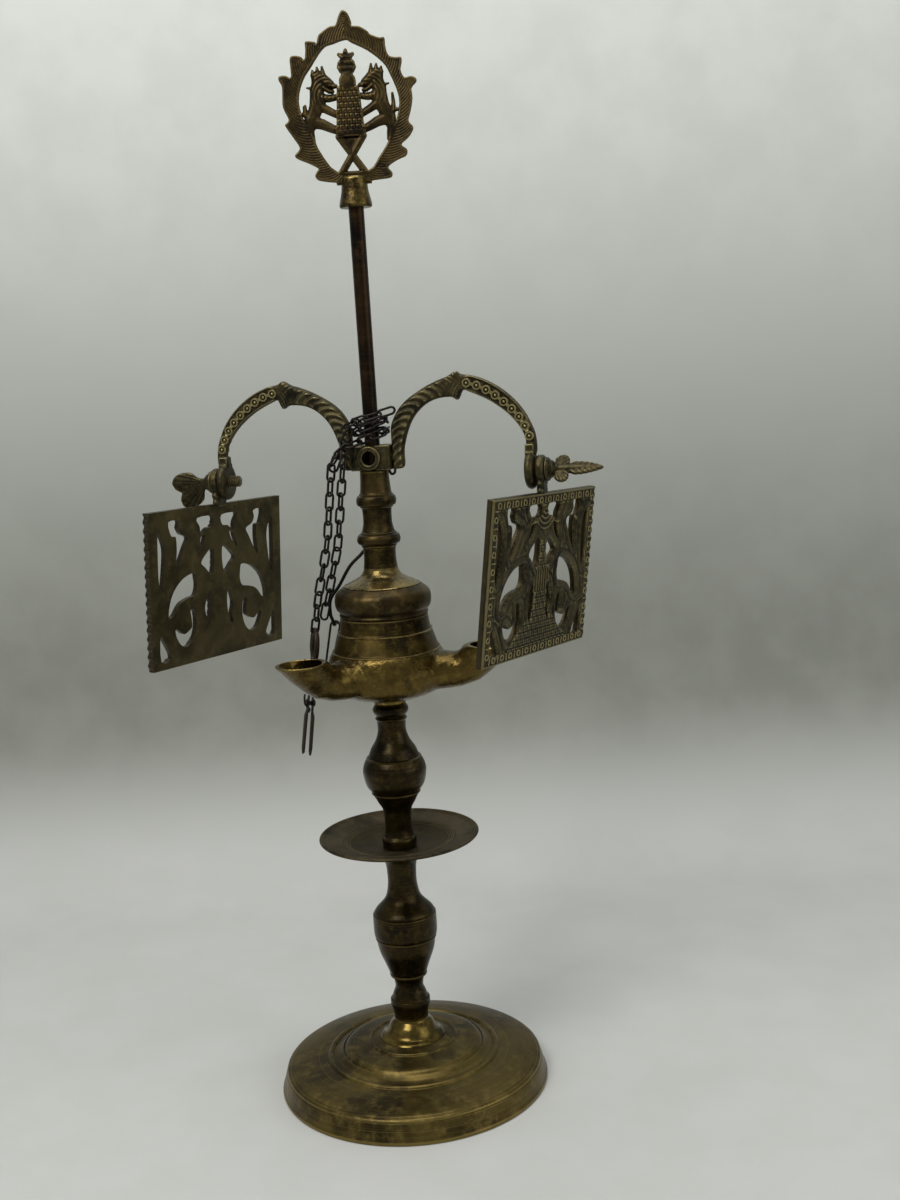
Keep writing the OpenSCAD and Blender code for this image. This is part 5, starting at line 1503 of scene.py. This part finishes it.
    def wreath(self, d: Drawing) -> tuple[Array, Array]:
        """Returns the field and the relief of the leafy ring."""
        outer = loop(self.LEFT + self.RIGHT[::-1], 3)
        ring = np.minimum(d.polygon(outer), -d.polygon(loop(self.HOLE, 3)))
        base = d.polygon([(-9, -2.4), (9, -2.4), (10, 3.6), (7.4, 4.4), (-7.4, 4.4), (-10, 3.6)])
        path = self.RING
        s, q = d.along(curve(path, 8))
        s2, q2 = d.along(curve([(-x, y) for x, y in path], 8))
        s, q = np.where(d.x >= 0, s, s2), np.where(d.x >= 0, q, -q2)
        hatch = 0.5 + 0.5 * np.cos(2 * np.pi * (s * 0.8 + q * 0.9 - 0.05 * q * q) / 1.4)
        rim = 1 - eased(ring, 0.6, 1.4)
        height = 1.6 + 0.32 * hatch * (1 - rim) + 0.35 * rim
        return np.maximum(ring, base), np.where(ring > -0.4, height, 1.3)

    @staticmethod
    def beast(d: Drawing, s: int) -> Array:
        """Returns the field of one rearing beast, on the right for s = 1."""
        def at(*points: Point) -> list[Point]:
            """Returns points on the beast's side."""
            return [(s * x, y) for x, y in points]

        body = d.stroke(at((14.6, 49.5), (16.0, 44.5), (15.8, 40.0)), 3.3, 3.9)
        body = soft_max(body, d.stroke(at((15.8, 40.0), (17.4, 35.0), (19.8, 30.2)), 3.7, 3.4), 1.2)
        body = soft_max(body, d.stroke(at((15.0, 51.0), (12.2, 50.0), (9.2, 47.8)), 3.4, 2.3), 1.0)
        body = soft_max(body, d.stroke(at((10.4, 48.4), (7.4, 46.6), (6.2, 46.4)), 1.9, 1.1), 0.6)
        body = soft_max(body, d.stroke(at((12.4, 46.2), (9.6, 44.2), (7.8, 43.9)), 1.5, 0.9), 0.5)
        body = soft_max(body, d.stroke(at((15.0, 41.4), (10.0, 40.6), (4.6, 41.2)), 2.3, 1.5), 0.8)
        body = soft_max(body, d.stroke(at((14.6, 37.0), (10.4, 34.6), (5.0, 31.6)), 2.4, 1.7), 0.8)
        body = soft_max(body, d.stroke(at((19.8, 29.6), (14.2, 28.2), (9.4, 25.8), (5.2, 24.0)), 3.1, 1.8), 1.0)
        body = soft_max(body, d.stroke(at((20.0, 30.0), (21.2, 25.0), (20.2, 19.6)), 3.2, 2.0), 1.0)
        body = soft_max(body, d.stroke(at((20.4, 30.6), (22.8, 33.6), (25.0, 33.4)), 1.3, 0.9), 0.6)
        tail = at((22.4, 33.0), (22.7, 37.0), (22.4, 41.4 if s > 0 else 37.6))
        body = soft_max(body, d.stroke(tail, 1.4, 0.7), 0.5)
        for x, y, tip in ((12.2, 52.2, 56.2), (14.8, 53.2, 56.0), (17.2, 52.4, 54.6)):
            body = soft_max(body, d.stroke(at((x, y), (x + 0.3, tip)), 1.5, 0.6), 0.4)
        for x, y in ((14.4, 37.4), (17.6, 45.8)):
            body = soft_max(body, d.stroke(at((x, y), (x + 3.2, y + 0.6)), 1.0, 0.5), 0.4)
        return body

    @staticmethod
    def tower(d: Drawing) -> tuple[Array, Array]:
        """Returns the field and the relief of the tower with its cupola, crown and star."""
        body = d.polygon([(-7.4, 21.2), (7.4, 21.2), (7.4, 24.0), (7.3, 24.2), (5.6, 46.2), (-5.6, 46.2), (-7.3, 24.2),
                          (-7.4, 24.0)])
        dome = d.stroke([(0, 47.4), (0, 48.6)], 4.3)
        neck = d.stroke([(0, 51.0), (0, 53.4)], 3.1)
        crown = d.polygon([(-3.6, 52.6), (3.6, 52.6), (5.0, 55.4), (4.2, 57.8), (-4.2, 57.8), (-5.0, 55.4)])
        star = np.full(d.x.shape, -1e9)
        for k in range(6):
            a = math.radians(90 + 60 * k)
            star = np.maximum(star, d.stroke([(0, 59.6), (4.0 * math.cos(a), 59.6 + 4.0 * math.sin(a))], 2.3, 0.9))
        whole = np.maximum.reduce([body, dome, neck, crown, star])
        wide = np.clip((46.2 - d.y) / 22, 0, 1)
        columns = 2.1 + 0.75 * wide
        row = np.floor((d.y - 24.6) / 2.7)
        cell_x = np.abs(np.mod(d.x / columns + 0.5 * (row % 2), 1) - 0.5) * 2
        cell_y = np.abs(np.mod((d.y - 24.6) / 2.7, 1) - 0.5) * 2
        groove = eased(np.maximum(cell_x, cell_y), 0.6, 1.0)
        height = 2.1 - 0.48 * groove * eased(body, 0.2, 0.8) * eased(d.y, 24.4, 25.0)
        height = np.where(dome > body, 1.6 + 0.7 * np.sqrt(np.clip(dome / 4.3, 0, 1)), height)
        ripple = 0.5 + 0.5 * np.cos(d.y * 2.3)
        height = np.where(d.y > 52.6, 1.6 + 0.4 * ripple, height)
        return whole, height


@dataclass
class ChainWork:
    """The chain wound round the rod, its leads and the two strands that hang from them."""

    at: Stack
    length: float = 11.0
    width: float = 5.6
    wire: float = 1.2
    slack: float = 1.0
    rod_r: float = 4.0
    turns: float = 2.0
    wrap_from: float = 235.0
    slope: float = 0.21

    @property
    def pitch(self) -> float:
        """Distance between a chain's joints."""
        return self.length - 2 * self.wire - self.slack

    def wrap_at(self, i: int) -> Array:
        """Returns joint i of the wraps, in the bracket's own frame."""
        r = self.rod_r + self.width / 2 + 1.6
        step = 2 * math.degrees(math.asin(self.pitch * 0.985 / 2 / r))
        a = math.radians(self.wrap_from + i * step)
        x = r * math.cos(a)
        base = self.at.block_z + 13.2 + 0.4 + self.width / 2 + 0.2
        return np.array([x, r * math.sin(a), base + (self.width + 0.2) * i * step / 360 + x * self.slope])

    @staticmethod
    def laid(path: Sequence[Array], pitch: float) -> list[Array]:
        """Returns the joints of a chain laid along a path."""
        path = [np.array(p, float) for p in path]
        lengths = [np.linalg.norm(b - a) for a, b in zip(path, path[1:])]
        total = sum(lengths)
        n = int(round(total / pitch))
        out = []
        for i in range(n + 1):
            s = total * i / n
            for a, b, step in zip(path, path[1:], lengths):
                if s <= step or b is path[-1]:
                    out.append(a + (b - a) * min(1.0, s / step))
                    break
                s -= step
        return out

    @staticmethod
    def links(joints: Sequence[Array], roll: float) -> tuple[list, list]:
        """Returns the middle and the turn of each link between joints."""
        middles, turns = [], []
        for i, (a, b) in enumerate(zip(joints, joints[1:])):
            d = b - a
            middles.append((a + b) / 2)
            turns.append((math.radians(roll + 90 * (i % 2)), -math.atan2(d[2], math.hypot(d[0], d[1])),
                          math.atan2(d[1], d[0])))
        return middles, turns

    def build(self, hook: Array) -> None:
        """Makes both groups of chain.

        Args:
            hook: Where the front strand ends in the scissors' loop, in the bracket's own frame.
        """
        r = self.rod_r + self.width / 2 + 1.6
        step = 2 * math.degrees(math.asin(self.pitch * 0.985 / 2 / r))
        w0, nz = self.wrap_at(0), self.at.neck_z
        lead_a = [w0] + [w0 + np.array(p) for p in ((-4.8, -5.5, -2), (-10.6, -6.5, -6.8), (-15.4, -3, -11.6))]
        lead_b = [w0 + np.array((-7.3, -5.3, -5)), w0 + np.array((-7.8, -6.9, -12.4))]
        wraps = [self.wrap_at(i) for i in range(int(self.turns * 360 / step) + 1)]
        top = self.at.block_top
        band = self.laid([(-12.5, -8.5, top + 10.5), (0, -12.6, top + 14), (14.5, -6.4, top + 18)], self.pitch)
        lead_c = self.laid([(-8, -10.4, top + 9), (-13.5, -11, top), (-18.5, -9, top - 8), (-20, -8.8, top - 12)],
                           self.pitch)
        front = self.laid([lead_a[3], (-26.4, -8.6, nz + 14), (-34, -8.6, nz - 15), hook], self.pitch)
        rear = self.laid([lead_b[1], (-22.6, -2.6, nz + 12), (-31, -1.4, nz - 16), (-34.4, -1, nz - 27)], self.pitch)
        tree = link_tree(IRON.material())
        thick = self.wire * 1.12
        groups = (("chain_round_rod", "chain_wraps", "bracket", ((wraps, 135), (lead_a, -20), (lead_b, 90), (band, 30), (lead_c, 50))),
                  ("hanging_chains", "tool_chains", "hung_tools", ((front, 90), (rear, 90))))
        for name, node, body, chains in groups:
            middles, turns = [], []
            for joints, roll in chains:
                m, t = self.links(joints, roll)
                middles += m
                turns += t
            sizes = {"Length": self.length, "Width": self.width, "Wire": thick}
            obj = tree.grown(name, np.array(middles), [], sizes, np.array(turns))
            obj.data.transform(turn(FRONT_AZ, "Z"))
            dress(obj, IRON, body, (node,), 60)


@dataclass
class Tools:
    """The wick scissors, the wire pick and the tweezers."""

    at: Stack
    length: float = 71.0
    thick: float = 1.6
    lean: float = 9.0
    spin: float = -56.0
    loop_w: float = 10.0
    loop_h: float = 17.0
    loop_wire: float = 1.9
    loop_side: float = 5.2

    @property
    def loops_h(self) -> float:
        """Height of the loops' tops over the pivot."""
        return self.length * 0.58

    @property
    def pivot(self) -> Array:
        """Place of the pivot in the bracket's own frame."""
        return np.array([-33 - 9.4, -8, self.at.neck_z - 73])

    @property
    def place(self) -> Matrix:
        """Place of the scissors' own frame, its Z up the handles."""
        return turn(FRONT_AZ, "Z") @ shift(*self.pivot) @ turn(self.lean, "Y") @ turn(self.spin, "Z")

    def hook(self) -> Array:
        """Returns where the chain holds the left loop, in the bracket's own frame."""
        inner = shift(*self.pivot) @ turn(self.lean, "Y") @ turn(self.spin, "Z")
        return np.array(inner @ Vector((-self.loop_side, 0, self.loops_h - self.loop_wire - 0.4)))

    def build(self) -> None:
        """Makes every tool."""
        half = self.half()
        face = turn(90, "X")
        piece("scissors_left_half", half.moved(self.place @ shift(0, 0.02, 0) @ face), RUST, "hung_tools",
              "scissors_half_a", crease=50)
        flip = turn(180, "Z") @ shift(0, self.thick + 0.09, 0)
        piece("scissors_right_half", half.moved(self.place @ flip @ face), RUST, "scissors_free_half",
              "scissors_half_b", crease=50)
        keep_node("scissors_rivet", RUST)
        self.wire()
        self.tweezers()

    def half(self) -> Shape:
        """Returns the half with its loop on the left, flat in the plane of X and Y."""
        low = -(self.length - self.loops_h)
        d = Drawing((-10.6, low - 0.2), (4, self.loops_h + 0.2), 0.26)
        mid = (-self.loop_side, self.loops_h - self.loop_h / 2)

        def oval(w: float, h: float) -> Array:
            """Returns the field of an oval round the loop's middle."""
            a = np.linspace(0, 2 * np.pi, 40, endpoint=False)
            return d.polygon([(mid[0] + w / 2 * math.cos(t), mid[1] + h / 2 * math.sin(t)) for t in a])

        arm = d.polygon([(-3.6, self.loops_h - self.loop_h + 2), (-6, self.loops_h - self.loop_h + 0.8), (-2.8, 4),
                         (-1.8, -3), (-0.4, 1.4 + low), (1.6, low), (3.2, 4 + low), (2.8, -6), (2.2, 0), (-0.4, 7)])
        disc = d.stroke([(0, 0), (0.01, 0)], 3.2)
        whole = np.maximum.reduce([oval(self.loop_w, self.loop_h), arm, disc])
        whole = np.minimum(whole, -oval(self.loop_w - 5.2, self.loop_h - 2 * self.loop_wire))
        whole = np.minimum(whole, np.hypot(d.x, d.y) - 1.25)
        round_ = 0.7 * rounded_edge(whole, 0.8)
        front = self.thick / 2 - 0.9 + 1.3 * eased(d.y, mid[1] - 8, mid[1] - 5) + round_
        back = -self.thick / 2 - 0.8 * eased(np.abs(d.y), 4, 8) - round_
        return d.cast(whole, front, back)

    def wire(self) -> None:
        """Makes the bent wire of the pick, which carries the tweezers."""
        bz, nz, top = self.at.block_z, self.at.neck_z, self.at.block_top
        hook_z = top + 0.75 + 0.4
        end = np.array([-31.4, 8, nz - 32])
        route = [(-9.4, 6.9, hook_z), (-9.4, 9.1, hook_z), (-9.5, 10.4, hook_z - 2), (-9.6, 10.6, bz + 4),
                 (-9.6, 11.8, nz + 34), (-9.6, 11.4, nz + 14), (-13.2, 9.8, nz + 7), (-20.2, 7.6, nz),
                 (-26.6, 6, nz - 10.4), (-31.6, 4.4, nz - 17.6), (-32, 3.4, nz - 25.4), end + (0.5, -4.6, 2.6),
                 end + (0.4, -3.2, 0.2), end, end + (-0.6, 3.8, 0)]
        self.bend("bent_wire", route, 0.95, "bracket", "wire_pick")
        self.bend("wire_hook_end", [(8.8, -1, bz + 1.2), (9.0, -1.4, bz - 0.8), (10.2, -1.6, bz - 2.4),
                                    (11.8, -1.4, bz - 1.8), (12.2, -1, bz + 0.6)], 0.7, "bracket")
        x, y, z = self.pivot
        self.bend("scissors_wire_ring", [(x + u, y - 5.0, z + v) for u, v in (
            (-1.6, 6.0), (-2.0, 4.2), (-1.9, 0.4), (0.4, -2.2), (-0.3, -4.0))], 0.55, "hung_tools")

    def bend(self, name: str, route: Sequence[Sequence[float]], radius: float, body: str, *stands_for: str) -> None:
        """Makes a wire.

        Args:
            name: The piece's name.
            route: Points that the wire passes, in the bracket's own frame.
            radius: Half the wire's thickness.
            body: The body that it rides on.
            *stands_for: The CAD nodes that it replaces.
        """
        points = np.array(curve(route, 8))
        edges = [(i, i + 1) for i in range(len(points) - 1)]
        obj = wire_tree(IRON.material()).grown(name, points, edges, {"Radius": radius})
        obj.data.transform(turn(FRONT_AZ, "Z"))
        dress(obj, IRON, body, stands_for, 60)

    def tweezers(self) -> None:
        """Makes the tweezers, one strip bent double."""
        gape, strip, drop, width = 3.0, 0.9, 41.0, 5.0
        d = Drawing((-3.2, -drop), (3.2, 3.2), 0.22)
        a = np.linspace(0, np.pi, 24)
        outer = [(gape * math.cos(t), gape * math.sin(t)) for t in a]
        inner = [((gape - strip) * math.cos(t), (gape - strip) * math.sin(t)) for t in reversed(a)]
        inside = d.polygon([(0.5, -drop), (1.5, -drop)] + outer + [(-1.5, -drop), (-0.5, -drop)] + inner)
        face = width / 2 - 1.25 + 0.5 * rounded_edge(inside, 0.45)
        strip_shape = d.cast(inside, face, -face)
        end = np.array([-31.4, 8, self.at.neck_z - 32]) - (0, 0, gape - strip - 0.75 - 0.4)
        place = turn(FRONT_AZ, "Z") @ shift(*end) @ turn(14, "Y") @ turn(10, "Z") @ turn(90, "X")
        piece("tweezers_strip", strip_shape.moved(place), IRON, "hung_tweezers", "tweezers", crease=50)


@dataclass
class Studio:
    """The pale sweep, the soft lights and the camera."""

    wall_y: float = 420.0
    bend_r: float = 160.0
    camera_at: tuple[float, float, float] = (36.0, -771.3, 399.6)
    pitch: float = 9.3
    roll: float = -3.5
    focal_px: float = 1450.0
    frame_px: float = 1200.0

    def build(self) -> None:
        """Makes the studio."""
        self.sweep()
        self.world()
        self.lights()
        self.camera()

    def sweep(self) -> None:
        """Makes the floor that bends up into a backdrop, open to the eye from behind."""
        a = np.linspace(0, math.pi / 2, 16)
        line = [(-2200.0, 0.0)]
        line += [(self.wall_y - self.bend_r + self.bend_r * math.sin(t), self.bend_r * (1 - math.cos(t))) for t in a]
        line += [(self.wall_y, 2200.0)]
        half = 2200.0
        points = [(x, y, z) for y, z in line for x in (-half, half)]
        faces = [(2 * i, 2 * i + 1, 2 * i + 3, 2 * i + 2) for i in range(len(line) - 1)]
        mesh = bpy.data.meshes.new("backdrop")
        mesh.from_pydata([tuple(c * MM for c in p) for p in points], [], faces)
        mesh.polygons.foreach_set("use_smooth", [True] * len(faces))
        obj = bpy.data.objects.new("backdrop", mesh)
        bpy.context.scene.collection.objects.link(obj)
        s = Surface("pale_paper")
        at = s.place(0)
        source = s.nodes.new("ShaderNodeTexCoord").outputs["Object"]
        height = s.fed("ShaderNodeSeparateXYZ", {0: source}).outputs[2]
        # Painted shade: the paper is painted darkest a little above the floor, where the sweep bends up, and pales
        # towards the top of the wall; the floor is one even tone. The noise below is the paper's own mottling.
        paper_with_painted_shade = s.mix(s.step(height, 0.12, 0.7), linear("#84867f"), linear("#d4d8d4"))
        paper_with_painted_shade = s.mix(s.step(height, 0.0, 0.12), linear("#c3c4c2"), paper_with_painted_shade)
        paper_with_painted_shade = s.mix(s.step(s.noise(at, 0.02, 4), 0.3, 0.7, 0.2), paper_with_painted_shade, linear("#adafa9"))
        s.links.new(paper_with_painted_shade, s.shader.inputs["Base Color"])
        s.shader.inputs["Roughness"].default_value = 0.85
        back = s.nodes.new("ShaderNodeNewGeometry").outputs["Backfacing"]
        clear = s.nodes.new("ShaderNodeBsdfTransparent")
        mix = s.nodes.new("ShaderNodeMixShader")
        out = next(n for n in s.nodes if n.type == "OUTPUT_MATERIAL")
        s.links.new(back, mix.inputs[0])
        s.links.new(s.shader.outputs[0], mix.inputs[1])
        s.links.new(clear.outputs[0], mix.inputs[2])
        s.links.new(mix.outputs[0], out.inputs["Surface"])
        mesh.materials.append(s.material)

    def world(self) -> None:
        """Makes the plain light round the lamp, pale where it is seen or mirrored."""
        world = bpy.data.worlds.new("soft_room")
        bpy.context.scene.world = world
        world.use_nodes = True
        nodes, links = world.node_tree.nodes, world.node_tree.links
        nodes.clear()
        path = nodes.new("ShaderNodeLightPath")
        seen = nodes.new("ShaderNodeMath")
        seen.operation = "MAXIMUM"
        links.new(path.outputs["Is Camera Ray"], seen.inputs[0])
        mirrored = nodes.new("ShaderNodeMath")
        mirrored.operation = "MAXIMUM"
        links.new(path.outputs["Is Glossy Ray"], mirrored.inputs[0])
        links.new(path.outputs["Is Transmission Ray"], mirrored.inputs[1])
        links.new(mirrored.outputs[0], seen.inputs[1])
        light, pale = nodes.new("ShaderNodeBackground"), nodes.new("ShaderNodeBackground")
        light.inputs[0].default_value = (0.95, 0.98, 0.98, 1)
        light.inputs[1].default_value = 0.3
        pale.inputs[0].default_value = (0.55, 0.57, 0.56, 1)
        pale.inputs[1].default_value = 0.65
        mix = nodes.new("ShaderNodeMixShader")
        links.new(seen.outputs[0], mix.inputs[0])
        links.new(light.outputs[0], mix.inputs[1])
        links.new(pale.outputs[0], mix.inputs[2])
        out = nodes.new("ShaderNodeOutputWorld")
        links.new(mix.outputs[0], out.inputs[0])

    def lights(self) -> None:
        """Hangs three soft lamps round the object."""
        for name, at, size, power, colour in (
            ("key", (-0.55, -0.75, 1.25), 0.6, 10.0, (1.0, 0.98, 0.92)),
            ("fill", (1.1, -0.6, 0.7), 0.9, 3.4, (1.0, 1.0, 0.96)),
            ("top", (0.05, -0.1, 1.5), 0.8, 7.0, (1.0, 1.0, 1.0)),
        ):
            data = bpy.data.lights.new(name, "AREA")
            data.size, data.energy, data.color = size, power, colour
            lamp = bpy.data.objects.new(name, data)
            lamp.location = at
            lamp.rotation_mode = "QUATERNION"
            aim = Vector((0, 0, 0.3)) - Vector(at)
            lamp.rotation_quaternion = aim.to_track_quat("-Z", "Y")
            bpy.context.scene.collection.objects.link(lamp)

    def camera(self) -> None:
        """Sets the camera where the photograph was taken from, with its pitch and roll."""
        data = bpy.data.cameras.new("camera")
        data.sensor_width = 36.0
        data.lens = self.focal_px / self.frame_px * data.sensor_width
        data.clip_start, data.clip_end = 0.01, 20
        camera = bpy.data.objects.new("camera", data)
        p, r = math.radians(self.pitch), math.radians(self.roll)
        right, up = Vector((1, 0, 0)), Vector((0, math.sin(p), math.cos(p)))
        back = right.cross(up)
        right_r = right * math.cos(r) + up * math.sin(r)
        up_r = up * math.cos(r) - right * math.sin(r)
        matrix = Matrix((right_r, up_r, back)).transposed().to_4x4()
        matrix.translation = Vector(self.camera_at) * MM
        camera.matrix_world = matrix
        bpy.context.scene.collection.objects.link(camera)
        bpy.context.scene.camera = camera


def main() -> None:
    """Dresses the lamp, piece by piece, and stands it in the studio."""
    logging.basicConfig(level=logging.INFO, format="%(name)s: %(message)s")
    bpy.context.scene.view_settings.view_transform = "Standard"
    at = Stack()
    Studio().build()
    Stand(at).build()
    Reservoir(at).build()
    Cap(at).build()
    bracket = Bracket(at)
    bracket.build()
    Screen("right", FRONT_AZ, -7.4, bracket.eye_z).build()
    Screen("left", FRONT_AZ + 180, 3.6, bracket.eye_z).build()
    ThumbScrew("right", FRONT_AZ, bracket.eye_z, Leaves.LONG, 0.5).build()
    ThumbScrew("left", FRONT_AZ + 180, bracket.eye_z, Leaves.BROAD, 5.5).build()
    Finial(at).build()
    tools = Tools(at)
    tools.build()
    ChainWork(at).build(tools.hook())


if __name__ == "__main__":
    main()
